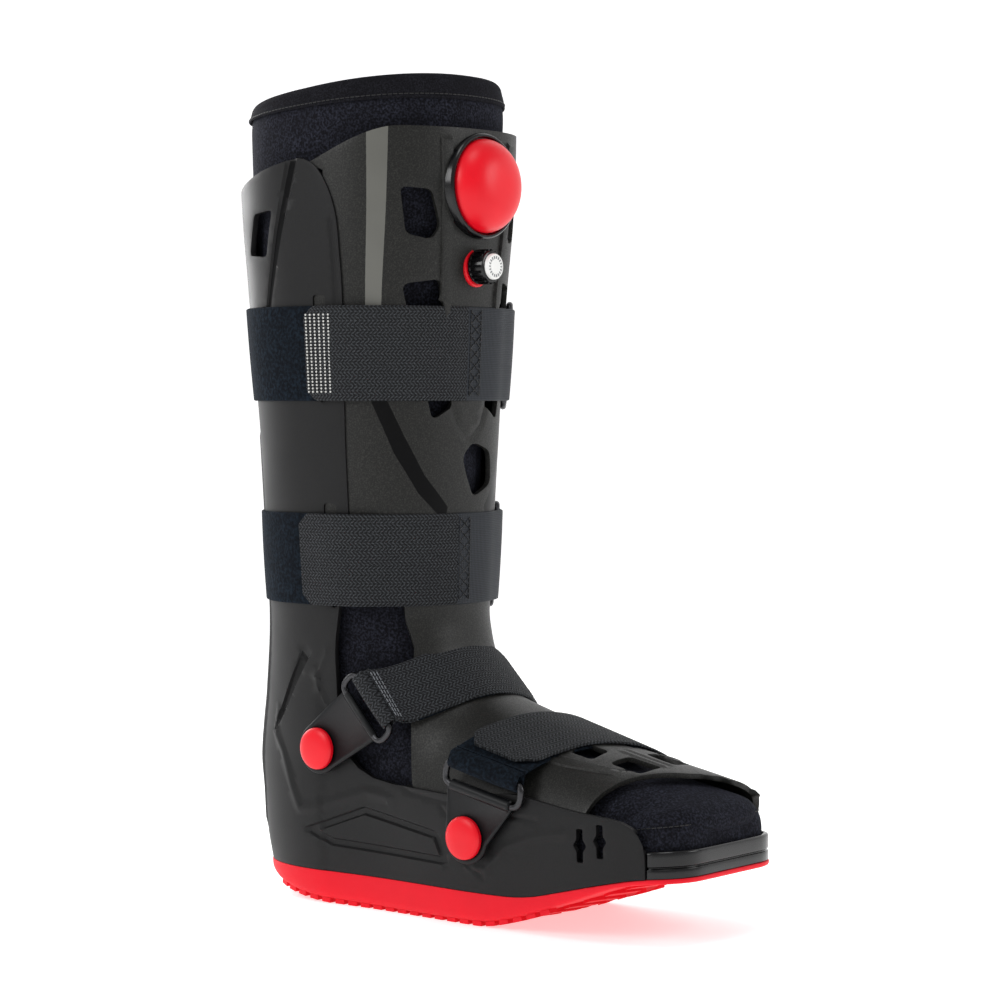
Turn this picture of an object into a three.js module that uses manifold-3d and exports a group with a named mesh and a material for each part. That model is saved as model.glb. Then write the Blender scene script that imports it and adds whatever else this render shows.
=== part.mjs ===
import * as THREE from 'three';
import { mergeVertices } from 'three/addons/utils/BufferGeometryUtils.js';
import Module from 'manifold-3d';

// A medical walking boot for the lower leg: rigid shell, front panel, padded liner,
// rocker sole, four straps with wire rings, a pump bulb and an air valve.
// Units are millimetres. While it is modelled, X runs from the heel to the toe,
// Y across the boot and Z up from the floor; the last lines centre it in plan.

const wasm = await Module();
wasm.setup();

// Overall sizes
const FOOT_LENGTH = 284;
const LEG_HEIGHT = 390;
const LEG_WIDTH = 131;
const FOOT_WIDTH = 102;
const FOOT_RISE = 390;
const RIM_RISE = 29;

// Walls and clearances
const SHELL_WALL = 2.8;
const PANEL_WALL = 2.5;
const LINER_WALL = 9;
const TRAY_FLOOR = 8;
const FIT = 0.4;
const SEAT_GAP = 0.3;

// Sole
const SOLE_TOP = 19;
const SOLE_THICK = 16.5;
const SOLE_EDGE = 0.3;
const TREAD_DEPTH = 2.2;
const TREAD_PITCH = 16;
const TREAD_GROOVE = 4;
const LEDGE_HEIGHT = 13;

// Straps and their hardware
const STRAP_THICK = 1.6;
const CALF_STRAP_WIDTH = 47;
const SHIN_STRAP_WIDTH = 46;
const ANKLE_STRAP_WIDTH = 31;
const FOREFOOT_STRAP_WIDTH = 41;
const RING_WIRE = 3.6;
const RING_DEPTH = 15;
const RING_MARGIN = 1;
const RIVET_DIAMETER = 21;
const RIVET_HEIGHT = 5;
const TAB_THICK = 2.4;

// Pump and valve
const BEZEL_DIAMETER = 53;
const BEZEL_HEIGHT = 5;
const BULB_DIAMETER = 47;
const BULB_RISE = 17;
const SEAT_DIAMETER = 20;
const SEAT_HEIGHT = 3.5;
const KNOB_DIAMETER = 17.5;
const KNOB_HEIGHT = 9;
const KNOB_RIBS = 18;
const CAP_DIAMETER = 13;
const CAP_HEIGHT = 2;

// Shape of the sections and how finely they are cut
const SHELL_POWER = 2.3;
const QUARTER_STEPS = 12;
const LEG_CENTRE_SHARE = 0.2324;
const LEG_CENTRE = LEG_CENTRE_SHARE * FOOT_LENGTH;

// Heights in the tables are shares. Up to the ankle a share is taken of FOOT_RISE, and
// above it the rest of the leg stretches so that a share of 1 is LEG_HEIGHT.
const ANKLE_SHARE = 0.36;
const ANKLE_HEIGHT = ANKLE_SHARE * FOOT_RISE;

function heightOf(share) {
  if (share <= ANKLE_SHARE) return share * FOOT_RISE;
  return THREE.MathUtils.mapLinear(share, ANKLE_SHARE, 1, ANKLE_HEIGHT, LEG_HEIGHT);
}

function shareOf(z) {
  if (z <= ANKLE_HEIGHT) return z / FOOT_RISE;
  return THREE.MathUtils.mapLinear(z, ANKLE_HEIGHT, LEG_HEIGHT, ANKLE_SHARE, 1);
}

// Leg sections. back and front are shares of FOOT_LENGTH, half is a share of the width,
// which goes from the heel's to LEG_WIDTH at the ankle.
const LEG_SECTIONS = [
  { height: 0.02, back: 0.034, half: 0.34, front: 0.421 },
  { height: 0.046, back: 0.022, half: 0.345, front: 0.421 },
  { height: 0.09, back: 0.008, half: 0.353, front: 0.421 },
  { height: 0.146, back: 0.002, half: 0.359, front: 0.421 },
  { height: 0.185, back: -0.004, half: 0.359, front: 0.421 },
  { height: 0.23, back: 0.003, half: 0.362, front: 0.421 },
  { height: 0.272, back: 0.013, half: 0.366, front: 0.421 },
  { height: 0.367, back: 0.028, half: 0.382, front: 0.421 },
  { height: 0.48, back: 0.025, half: 0.407, front: 0.424 },
  { height: 0.6, back: 0.019, half: 0.435, front: 0.43 },
  { height: 0.7, back: 0.009, half: 0.458, front: 0.435 },
  { height: 0.79, back: -0.002, half: 0.477, front: 0.441 },
  { height: 0.913, back: -0.017, half: 0.496, front: 0.458 },
  { height: 1.02, back: -0.023, half: 0.5, front: 0.463 },
];

// Plan of the foot tray. along is a share of FOOT_LENGTH, half of FOOT_WIDTH.
const FOOT_PLAN = [
  { along: 0.2324, half: 0.455 },
  { along: 0.35, half: 0.452 },
  { along: 0.46, half: 0.47 },
  { along: 0.565, half: 0.49 },
  { along: 0.68, half: 0.499 },
  { along: 0.78, half: 0.5 },
  { along: 0.87, half: 0.487 },
  { along: 0.93, half: 0.468 },
];
const TOE_CORNER = 22;

// Line between shell and sole. along is a share of FOOT_LENGTH, rise of FOOT_RISE.
const SOLE_LINE = [
  { along: -0.1, rise: 0 },
  { along: 0.65, rise: 0 },
  { along: 0.71, rise: 0.004 },
  { along: 0.775, rise: 0.015 },
  { along: 0.86, rise: 0.03 },
  { along: 0.94, rise: 0.041 },
  { along: 1.1, rise: 0.046 },
];

// Walking surface of the sole, over its lowest level. along is a share of FOOT_LENGTH,
// lift of FOOT_RISE.
const ROCKER = [
  { along: -0.1, lift: 0.04 },
  { along: 0.03, lift: 0.033 },
  { along: 0.1, lift: 0.015 },
  { along: 0.17, lift: 0.005 },
  { along: 0.25, lift: 0 },
  { along: 0.59, lift: 0 },
  { along: 0.67, lift: 0.011 },
  { along: 0.775, lift: 0.036 },
  { along: 0.9, lift: 0.067 },
  { along: 1.1, lift: 0.085 },
];

// Foot rows of panel and liner, from the ankle to the toe. Each row has a top point, a
// side point and an under point in the middle plane: x as shares of FOOT_LENGTH, z as
// heights. reach is the share of the side that the panel covers, and half, where it
// is given, the half width as a share of FOOT_WIDTH.
const FOOT_ROWS = [
  { topX: 0.428, topZ: 0.352, sideX: 0.27, sideZ: 0.3, underX: 0.042, underZ: 0.26, reach: 0.43 },
  { topX: 0.434, topZ: 0.336, sideX: 0.3, sideZ: 0.268, underX: 0.036, underZ: 0.215, reach: 0.48 },
  { topX: 0.453, topZ: 0.313, sideX: 0.33, sideZ: 0.235, underX: 0.034, underZ: 0.16, reach: 0.57 },
  { topX: 0.472, topZ: 0.296, sideX: 0.352, sideZ: 0.215, underX: 0.05, underZ: 0.112, reach: 0.66 },
  { topX: 0.493, topZ: 0.283, sideX: 0.385, sideZ: 0.175, underX: 0.12, underZ: 0.077, reach: 0.76 },
  { topX: 0.516, topZ: 0.275, sideX: 0.42, sideZ: 0.14, underX: 0.28, underZ: 0.073, reach: 0.88 },
  { topX: 0.56, topZ: 0.264, sideX: 0.49, sideZ: 0.128, underX: 0.42, underZ: 0.072, reach: 1 },
  { topX: 0.606, topZ: 0.253, sideX: 0.565, sideZ: 0.126, underX: 0.55, underZ: 0.072, reach: 1 },
  { topX: 0.665, topZ: 0.238, sideX: 0.64, sideZ: 0.126, underX: 0.63, underZ: 0.072, reach: 1 },
  { topX: 0.725, topZ: 0.227, sideX: 0.71, sideZ: 0.126, underX: 0.705, underZ: 0.078, reach: 1 },
  { topX: 0.827, topZ: 0.21, sideX: 0.82, sideZ: 0.128, underX: 0.82, underZ: 0.095, reach: 1 },
  { topX: 0.912, topZ: 0.197, sideX: 0.915, sideZ: 0.132, underX: 0.9, underZ: 0.108, half: 0.435, reach: 1 },
  { topX: 0.968, topZ: 0.186, sideX: 0.968, sideZ: 0.15, underX: 0.95, underZ: 0.131, half: 0.4, reach: 1 },
];

// Rounded toe of the liner, past the last row of the panel: the same columns, with
// half as a share of FOOT_WIDTH.
const TOE_ROWS = [
  { topX: 0.99, topZ: 0.174, sideX: 0.99, sideZ: 0.148, underX: 0.985, underZ: 0.132, half: 0.33 },
  { topX: 1.005, topZ: 0.161, sideX: 1.005, sideZ: 0.147, underX: 1.002, underZ: 0.136, half: 0.26 },
];

// Side view of the shell, clockwise from the toe. x is a share of FOOT_LENGTH, z a height
// and the corner cut round a share of FOOT_RISE.
const SHELL_PROFILE = [
  { x: -0.2, z: -0.2, round: 0 },
  { x: -0.2, z: 0.92, round: 0 },
  { x: 0.036, z: 0.928, round: 0.02 },
  { x: 0.15, z: 0.953, round: 0.02 },
  { x: 0.268, z: 0.97, round: 0.035 },
  { x: 0.318, z: 0.91, round: 0.04 },
  { x: 0.324, z: 0.8, round: 0.02 },
  { x: 0.314, z: 0.6, round: 0.02 },
  { x: 0.313, z: 0.5, round: 0.02 },
  { x: 0.272, z: 0.34, round: 0.02 },
  { x: 0.272, z: 0.176, round: 0.1 },
  { x: 0.54, z: 0.167, round: 0.02 },
  { x: 0.68, z: 0.178, round: 0.02 },
  { x: 0.8, z: 0.164, round: 0.02 },
  { x: 0.94, z: 0.155, round: 0.06 },
  { x: 0.94, z: -0.2, round: 0 },
];

// Openings through both sides of the shell, as rounded four-sided holes: corners as
// shares of FOOT_LENGTH and heights.
const SHELL_WINDOWS = [
  { x: [0.095, 0.18, 0.162, 0.077], z: [0.897, 0.897, 0.844, 0.844], round: 0.008 },
  { x: [0.07, 0.155, 0.13, 0.055], z: [0.77, 0.77, 0.67, 0.67], round: 0.008 },
  { x: [0.268, 0.282, 0.282, 0.268], z: [0.785, 0.785, 0.655, 0.655], round: 0.004 },
  { x: [0.268, 0.282, 0.282, 0.268], z: [0.521, 0.521, 0.392, 0.392], round: 0.004 },
  { x: [0.811, 0.823, 0.823, 0.811], z: [0.144, 0.144, 0.103, 0.103], round: 0.004 },
  { x: [0.85, 0.862, 0.862, 0.85], z: [0.151, 0.151, 0.11, 0.11], round: 0.004 },
];

// Bare plaque pressed into each side of the tray.
const PLAQUE = { x: [0.206, 0.331, 0.501, 0.522, 0.256], z: [0.101, 0.133, 0.114, 0.083, 0.088], round: 0.01 };
const PLAQUE_DEPTH = 0.8;

// Windows of the front panel seen from the front: across is a share of LEG_WIDTH and z a
// height, on the side of positive Y and mirrored to the other side.
const PANEL_WINDOWS = [
  { across: [0.333, 0.234, 0.193, 0.224, 0.309], z: [0.927, 0.924, 0.878, 0.861, 0.868], round: 0.008 },
  { across: [0.308, 0.175, 0.089, 0.184], z: [0.805, 0.812, 0.651, 0.632], round: 0.01 },
];
const TEAR_WINDOW = {
  across: [-0.043, 0.02, 0.14, 0.154, 0.027],
  z: [0.585, 0.604, 0.592, 0.55, 0.532],
  round: 0.012,
};

// Windows over the toes seen from above: x as shares of FOOT_LENGTH, across of
// FOOT_WIDTH, mirrored to the other side.
const TOE_WINDOWS = [
  { x: [0.722, 0.722, 0.77, 0.77], across: [0.09, 0.22, 0.22, 0.09], round: 0.008 },
  { x: [0.805, 0.8, 0.865, 0.87], across: [0.06, 0.2, 0.2, 0.05], round: 0.008 },
];

// Upper edge of the panel seen from the front, falling to the sides: across is a share
// of LEG_WIDTH.
const PANEL_TOP = [
  { across: -0.5, height: 0.93 },
  { across: -0.462, height: 0.958 },
  { across: -0.42, height: 0.979 },
  { across: -0.3, height: 0.996 },
  { across: 0, height: 1.003 },
  { across: 0.3, height: 0.996 },
  { across: 0.42, height: 0.979 },
  { across: 0.462, height: 0.958 },
  { across: 0.5, height: 0.93 },
];

// Slanted front edge of the panel in plan: x as shares of FOOT_LENGTH, across of
// FOOT_WIDTH from the seen side to the far side.
const PANEL_TOE_EDGE = [
  { x: 0.81, across: -0.6 },
  { x: 0.82, across: -0.44 },
  { x: 0.842, across: -0.34 },
  { x: 0.866, across: -0.22 },
  { x: 0.912, across: 0 },
  { x: 0.948, across: 0.28 },
  { x: 0.955, across: 0.6 },
];

// Straight-line value of a column at a place along a table.
function lookUp(table, key, column, place) {
  const last = table.length - 2;
  let row = 0;
  while (row < last && place > table[row + 1][key]) row += 1;
  const from = table[row];
  const to = table[row + 1];
  const share = THREE.MathUtils.clamp((place - from[key]) / (to[key] - from[key]), 0, 1);
  return THREE.MathUtils.lerp(from[column], to[column], share);
}

// Foot and leg blend between these heights. HEEL_WIDEN sets the heel's width by the foot's.
const BLEND_FROM = heightOf(0.18);
const BLEND_TO = heightOf(0.36);
const HEEL_WIDEN = 1.28431;

function widthAt(z) {
  const legShare = THREE.MathUtils.smoothstep(z, BLEND_FROM, BLEND_TO);
  return THREE.MathUtils.lerp(FOOT_WIDTH * HEEL_WIDEN, LEG_WIDTH, legShare);
}

const shellBack = (z) => lookUp(LEG_SECTIONS, 'height', 'back', shareOf(z)) * FOOT_LENGTH;
const shellHalf = (z) => lookUp(LEG_SECTIONS, 'height', 'half', shareOf(z)) * widthAt(z);
const panelFront = (z) => lookUp(LEG_SECTIONS, 'height', 'front', shareOf(z)) * FOOT_LENGTH;
const soleLine = (x) => SOLE_TOP + lookUp(SOLE_LINE, 'along', 'rise', x / FOOT_LENGTH) * FOOT_RISE;
const rocker = (x) => SOLE_TOP - SOLE_THICK + lookUp(ROCKER, 'along', 'lift', x / FOOT_LENGTH) * FOOT_RISE;

// Half width of the tray at a place along the foot; it draws in toward the sole.
const TRAY_TOP = heightOf(0.185);
function footHalf(x, z = TRAY_TOP) {
  const draw = shellHalf(Math.min(z, TRAY_TOP)) / shellHalf(TRAY_TOP);
  return lookUp(FOOT_PLAN, 'along', 'half', x / FOOT_LENGTH) * FOOT_WIDTH * draw;
}

// One coordinate of a superellipse; turn is an angle in radians.
const arcSide = (turn) => Math.sign(Math.sin(turn)) * Math.abs(Math.sin(turn)) ** (2 / SHELL_POWER);
const arcFront = (turn) => Math.sign(Math.cos(turn)) * Math.abs(Math.cos(turn)) ** (2 / SHELL_POWER);

// Front half of a tray section as points from the side to the middle of the toe.
const TRAY_STATIONS = [0.27, 0.315, 0.38, 0.46, 0.565, 0.68, 0.8];
const TOE_ARC = [0, 30, 60, 90];

function traySide(z, inset) {
  const points = TRAY_STATIONS.map((share) => {
    const x = share * FOOT_LENGTH;
    return new THREE.Vector2(x, footHalf(x, z) - inset);
  });
  const cornerX = FOOT_LENGTH - TOE_CORNER;
  const cornerY = footHalf(cornerX, z) - TOE_CORNER;
  const radius = TOE_CORNER - inset;
  for (const degrees of TOE_ARC) {
    const turn = THREE.MathUtils.degToRad(degrees);
    points.push(new THREE.Vector2(cornerX + radius * Math.sin(turn), cornerY + radius * Math.cos(turn)));
  }
  points.push(new THREE.Vector2(FOOT_LENGTH - inset, 0));
  return points;
}

// Horizontal section of the shell's outside, set in by inset: the tray below, the leg
// above and a blend of both at the ankle.
function shellSection(z, inset) {
  const long = LEG_CENTRE - shellBack(z) - inset;
  const half = shellHalf(z) - inset;
  const legShare = THREE.MathUtils.smoothstep(z, BLEND_FROM, BLEND_TO);
  const side = [];
  for (let step = 0; step <= QUARTER_STEPS; step += 1) {
    const turn = (Math.PI / 2) * (step / QUARTER_STEPS);
    side.push(new THREE.Vector2(LEG_CENTRE - long * arcFront(turn), half * arcSide(turn)));
  }
  traySide(z, inset).forEach((trayPoint, index) => {
    const turn = (Math.PI / 2) * ((index + 1) / QUARTER_STEPS);
    const legPoint = new THREE.Vector2(LEG_CENTRE + long * arcSide(turn), half * arcFront(turn));
    side.push(trayPoint.lerp(legPoint, legShare));
  });
  const mirrored = side.slice(1, -1).reverse().map((point) => new THREE.Vector2(point.x, -point.y));
  return [...side, ...mirrored].map((point) => new THREE.Vector3(point.x, point.y, z));
}

// Geometry through closed rings of as many points each, with flat ends.
function loft(rings) {
  const count = rings[0].length;
  const points = rings.flat();
  const faces = [];
  for (let ring = 0; ring + 1 < rings.length; ring += 1) {
    for (let i = 0; i < count; i += 1) {
      const a = ring * count + i;
      const b = ring * count + ((i + 1) % count);
      faces.push([a, b, b + count], [a, b + count, a + count]);
    }
  }
  for (const [ring, order] of [[rings[0], 1], [rings.at(-1), -1]]) {
    const centre = ring.reduce((sum, point) => sum.add(point), new THREE.Vector3());
    points.push(centre.divideScalar(count));
    const first = order === 1 ? 0 : (rings.length - 1) * count;
    for (let i = 0; i < count; i += 1) {
      const a = first + i;
      const b = first + ((i + 1) % count);
      faces.push(order === 1 ? [b, a, points.length - 1] : [a, b, points.length - 1]);
    }
  }
  return meshOf(points, faces);
}

// Geometry of a closed body, with its faces turned outward.
function meshOf(points, faces) {
  const swing = new THREE.Vector3();
  let volume = 0;
  for (const [a, b, c] of faces) volume += points[a].dot(swing.crossVectors(points[b], points[c]));
  const order = volume < 0 ? [0, 2, 1] : [0, 1, 2];
  const geometry = new THREE.BufferGeometry();
  geometry.setAttribute('position', new THREE.Float32BufferAttribute(points.flatMap((p) => p.toArray()), 3));
  geometry.setIndex(faces.flatMap((face) => order.map((corner) => face[corner])));
  return geometry;
}

// Solid for cutting and joining from a closed geometry, and back again.
function toSolid(source) {
  const bare = source.clone();
  for (const name of Object.keys(bare.attributes)) {
    if (name !== 'position') bare.deleteAttribute(name);
  }
  const merged = mergeVertices(bare, 1e-4);
  const vertProperties = new Float32Array(merged.attributes.position.array);
  const triVerts = new Uint32Array(merged.index.array);
  return new wasm.Manifold(new wasm.Mesh({ numProp: 3, vertProperties, triVerts }));
}

function toGeometry(solid) {
  const { numProp, vertProperties, triVerts } = solid.getMesh();
  const geometry = new THREE.BufferGeometry();
  geometry.setAttribute('position', new THREE.Float32BufferAttribute(vertProperties, numProp));
  geometry.setIndex([...triVerts]);
  geometry.computeVertexNormals();
  return geometry;
}

// Flat outline through corners, each cut back by its own round and bridged by a curve.
function roundedShape(corners) {
  const shape = new THREE.Shape();
  corners.forEach((corner, index) => {
    const before = corners.at(index - 1);
    const after = corners[(index + 1) % corners.length];
    const from = corner.point.clone().lerp(before.point, cutShare(corner, before));
    const to = corner.point.clone().lerp(after.point, cutShare(corner, after));
    if (index === 0) shape.moveTo(from.x, from.y);
    else shape.lineTo(from.x, from.y);
    if (corner.round > 0) shape.quadraticCurveTo(corner.point.x, corner.point.y, to.x, to.y);
  });
  shape.closePath();
  return shape;
}

// Share of the way to the next corner at which the curve starts, half way at most.
function cutShare(corner, other) {
  return Math.min(corner.round / corner.point.distanceTo(other.point), 0.48);
}

// Prism across the boot from an outline in the side view.
function sidePrism(shape, fromY, toY, curveSegments = 4) {
  const geometry = new THREE.ExtrudeGeometry(shape, { depth: toY - fromY, bevelEnabled: false, curveSegments });
  geometry.rotateX(Math.PI / 2);
  geometry.translate(0, toY, 0);
  return geometry;
}

// Rounded outline of a place: its first values are shares of a size, and its second ones
// are lengths already.
function outlineOf(across, along, width, round) {
  return roundedShape(across.map((value, index) => ({
    point: new THREE.Vector2(value * width, along[index]),
    round: round * FOOT_RISE,
  })));
}

// Prism along X from an outline seen from the front, and along Z from one in plan.
function frontPrism(shape, fromX, toX) {
  const geometry = new THREE.ExtrudeGeometry(shape, { depth: toX - fromX, bevelEnabled: false, curveSegments: 3 });
  const turn = new THREE.Matrix4().makeBasis(AXIS_Y, AXIS_Z, AXIS_X);
  return geometry.applyMatrix4(turn).translate(fromX, 0, 0);
}

function planPrism(shape, fromZ, toZ) {
  const geometry = new THREE.ExtrudeGeometry(shape, { depth: toZ - fromZ, bevelEnabled: false, curveSegments: 4 });
  return geometry.translate(0, 0, fromZ);
}

// Outline mirrored across the first axis of its plane.
function mirroredPlace(place) {
  return { ...place, across: place.across.map((value) => -value) };
}

// Solid between two grids of points of the same shape: the outer face and the inner one.
function slab(outer, inner) {
  const columns = outer[0].length;
  const points = [...outer.flat(), ...inner.flat()];
  const back = outer.length * columns;
  const faces = [];
  const at = (row, column) => row * columns + column;
  for (let row = 0; row + 1 < outer.length; row += 1) {
    for (let column = 0; column + 1 < columns; column += 1) {
      const [a, b] = [at(row, column), at(row, column + 1)];
      const [c, d] = [at(row + 1, column + 1), at(row + 1, column)];
      faces.push([a, b, c], [a, c, d], [back + c, back + b, back + a], [back + d, back + c, back + a]);
    }
  }
  const rim = [];
  for (let column = 0; column < columns; column += 1) rim.push(at(0, column));
  for (let row = 1; row < outer.length; row += 1) rim.push(at(row, columns - 1));
  for (let column = columns - 2; column >= 0; column -= 1) rim.push(at(outer.length - 1, column));
  for (let row = outer.length - 2; row > 0; row -= 1) rim.push(at(row, 0));
  rim.forEach((from, index) => {
    const to = rim[(index + 1) % rim.length];
    faces.push([to, from, back + from], [to, back + from, back + to]);
  });
  return meshOf(points, faces);
}

const AXIS_X = new THREE.Vector3(1, 0, 0);
const AXIS_Y = new THREE.Vector3(0, 1, 0);
const AXIS_Z = new THREE.Vector3(0, 0, 1);
const WIDE = LEG_WIDTH;
const TALL = LEG_HEIGHT + 4 * RIM_RISE;

// Everything above the line between shell and sole, raised by a height.
function aboveSoleLine(raise) {
  const line = SOLE_LINE.map(({ along }) => new THREE.Vector2(along * FOOT_LENGTH, soleLine(along * FOOT_LENGTH) + raise));
  const top = [new THREE.Vector2(line.at(-1).x, TALL), new THREE.Vector2(line[0].x, TALL)];
  return toSolid(sidePrism(new THREE.Shape([...line, ...top]), -WIDE, WIDE));
}

// Filled body of shell and tray, set in by inset.
const SHELL_LEVELS = [0, 0.046, 0.09, 0.146, 0.185, 0.23, 0.28, 0.32, 0.367, 0.48, 0.6, 0.7, 0.79, 0.913, 1.02];

function shellBlock(inset) {
  return toSolid(loft(SHELL_LEVELS.map((share) => shellSection(heightOf(share), inset))));
}

function makeShell() {
  const corners = SHELL_PROFILE.map(({ x, z, round }) => ({
    point: new THREE.Vector2(x * FOOT_LENGTH, heightOf(z)),
    round: round * FOOT_RISE,
  }));
  const profile = toSolid(sidePrism(roundedShape(corners), -WIDE, WIDE, 6));
  let shell = shellBlock(0).intersect(profile).intersect(aboveSoleLine(SEAT_GAP));
  shell = shell.subtract(shellBlock(SHELL_WALL).intersect(aboveSoleLine(TRAY_FLOOR)));
  const sideHole = ({ x, z, round }) => (
    toSolid(sidePrism(outlineOf(x, z.map(heightOf), FOOT_LENGTH, round), -WIDE, WIDE))
  );
  for (const place of SHELL_WINDOWS) shell = shell.subtract(sideHole(place));
  const plaque = sideHole(PLAQUE);
  return toGeometry(shell.subtract(plaque.subtract(shellBlock(PLAQUE_DEPTH))));
}

// Rows of panel and liner. A row is a slanted section with a top, a side and an under
// point in the middle plane, a half width and the share of the side under the panel.
const PANEL_SEAT = SHELL_WALL + FIT;
const LEG_LEVELS = [1.003, 0.97, 0.94, 0.88, 0.79, 0.7, 0.6, 0.49, 0.46, 0.43, 0.4, 0.375];
const PANEL_REACH = [
  { height: 0.37, reach: 0.43 },
  { height: 0.41, reach: 0.47 },
  { height: 0.44, reach: 0.62 },
  { height: 0.47, reach: 0.84 },
  { height: 0.5, reach: 0.93 },
  { height: 0.94, reach: 0.94 },
];

function legRow(z) {
  return {
    top: new THREE.Vector2(panelFront(z), z),
    side: new THREE.Vector2(LEG_CENTRE, z),
    under: new THREE.Vector2(shellBack(z) + PANEL_SEAT, z),
    half: shellHalf(z) - PANEL_SEAT,
    reach: lookUp(PANEL_REACH, 'height', 'reach', shareOf(z)),
  };
}

function footRow(row) {
  const place = (x, z) => new THREE.Vector2(x * FOOT_LENGTH, heightOf(z));
  const side = place(row.sideX, row.sideZ);
  const legShare = THREE.MathUtils.smoothstep(side.y, BLEND_FROM, BLEND_TO);
  const outer = THREE.MathUtils.lerp(footHalf(side.x, side.y), shellHalf(side.y), legShare);
  return {
    top: place(row.topX, row.topZ),
    side,
    under: place(row.underX, row.underZ),
    half: row.half ? row.half * FOOT_WIDTH : outer - PANEL_SEAT,
    reach: row.reach,
  };
}

const LEG_ROWS = LEG_LEVELS.map((share) => legRow(heightOf(share)));
const PANEL_ROWS = [...LEG_ROWS, ...FOOT_ROWS.map(footRow)];

// Point of a row at a turn from its top: a quarter turn away is its side point.
function rowPoint(row, turn, inset, underInset) {
  const front = Math.cos(turn) >= 0;
  const end = front ? row.top : row.under;
  const arm = end.clone().sub(row.side);
  const depth = front ? inset : underInset;
  arm.setLength(Math.max(arm.length() - depth, 0.5));
  const spread = Math.abs(arcFront(turn));
  const y = (row.half - inset) * arcSide(turn);
  return new THREE.Vector3(row.side.x + arm.x * spread, y, row.side.y + arm.y * spread);
}

function rowRing(row, inset, underInset, quarterSteps = QUARTER_STEPS) {
  const ring = [];
  for (let step = 0; step < 4 * quarterSteps; step += 1) {
    ring.push(rowPoint(row, (Math.PI / 2) * (step / quarterSteps), inset, underInset));
  }
  return ring;
}

// Filled body under the outside of the panel, grown by a clearance.
function panelBlock(grow) {
  return toSolid(loft(PANEL_ROWS.map((row) => rowRing(row, -grow, 0))));
}

function panelGrid(inset) {
  return PANEL_ROWS.map((row) => {
    const points = [];
    for (let step = -QUARTER_STEPS; step <= QUARTER_STEPS; step += 1) {
      points.push(rowPoint(row, (Math.PI / 2) * row.reach * (step / QUARTER_STEPS), inset, 0));
    }
    return points;
  });
}

function makePanel() {
  let panel = toSolid(slab(panelGrid(0), panelGrid(PANEL_WALL)));
  const edge = PANEL_TOE_EDGE.map(({ x, across }) => new THREE.Vector2(x * FOOT_LENGTH, across * FOOT_WIDTH));
  const ahead = [new THREE.Vector2(1.2 * FOOT_LENGTH, WIDE), new THREE.Vector2(1.2 * FOOT_LENGTH, -WIDE)];
  panel = panel.subtract(toSolid(planPrism(new THREE.Shape([...edge, ...ahead]), 0, TALL)));
  const brow = PANEL_TOP.map(({ across, height }) => new THREE.Vector2(across * LEG_WIDTH, heightOf(height)));
  const over = [new THREE.Vector2(brow.at(-1).x, TALL), new THREE.Vector2(brow[0].x, TALL)];
  panel = panel.subtract(toSolid(frontPrism(new THREE.Shape([...brow, ...over]), 0, FOOT_LENGTH)));
  const frontWindows = [...PANEL_WINDOWS, ...PANEL_WINDOWS.map(mirroredPlace), TEAR_WINDOW];
  for (const { across, z, round } of frontWindows) {
    const shape = outlineOf(across, z.map(heightOf), LEG_WIDTH, round);
    panel = panel.subtract(toSolid(frontPrism(shape, LEG_CENTRE, FOOT_LENGTH)));
  }
  for (const { x, across, round } of [...TOE_WINDOWS, ...TOE_WINDOWS.map(mirroredPlace)]) {
    const shape = outlineOf(x, across.map((share) => share * FOOT_WIDTH), FOOT_LENGTH, round);
    panel = panel.subtract(toSolid(planPrism(shape, BLEND_FROM * 0.8, TALL)));
  }
  return toGeometry(panel);
}

// Collar rows above the panel: rise and fall are shares of RIM_RISE at the front and at
// the back, bulge is a share of LEG_WIDTH.
const COLLAR = [
  { rise: 0.12, fall: 0.06, bulge: 0 },
  { rise: 0.5, fall: 0.24, bulge: 0.004 },
  { rise: 0.85, fall: 0.36, bulge: -0.01 },
  { rise: 1, fall: 0.42, bulge: -0.03 },
];

function collarRow({ rise, fall, bulge }) {
  const row = legRow(LEG_HEIGHT);
  const grow = bulge * LEG_WIDTH;
  row.top.set(row.top.x + grow, LEG_HEIGHT + rise * RIM_RISE);
  row.under.set(row.under.x - grow / 2, LEG_HEIGHT + fall * RIM_RISE);
  row.side.y = (row.top.y + row.under.y) / 2;
  row.half += grow;
  return row;
}

const LINER_GAP = 0.95;
const LINER_SEAT = PANEL_WALL + LINER_GAP;
const LINER_SOLE = 5;
const LINER_STEPS = 8;

function makeLiner() {
  const collar = COLLAR.map(collarRow).reverse();
  const body = [...collar, ...PANEL_ROWS.slice(1)];
  const above = collarRow(COLLAR.at(-1));
  for (const point of [above.top, above.side, above.under]) point.y += LINER_WALL;
  const outside = [...body, ...TOE_ROWS.map(footRow)].map((row) => rowRing(row, LINER_SEAT, 0, LINER_STEPS));
  const depth = LINER_SEAT + LINER_WALL;
  const hollow = [above, ...body.slice(0, -1).filter((row, index) => index % 2 === 0)];
  const inside = hollow.map((row) => {
    const underDepth = row.side.y > BLEND_TO ? LINER_WALL : LINER_SOLE;
    return rowRing(row, depth, underDepth, LINER_STEPS);
  });
  return toGeometry(toSolid(loft(outside)).subtract(toSolid(loft(inside))));
}

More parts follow.
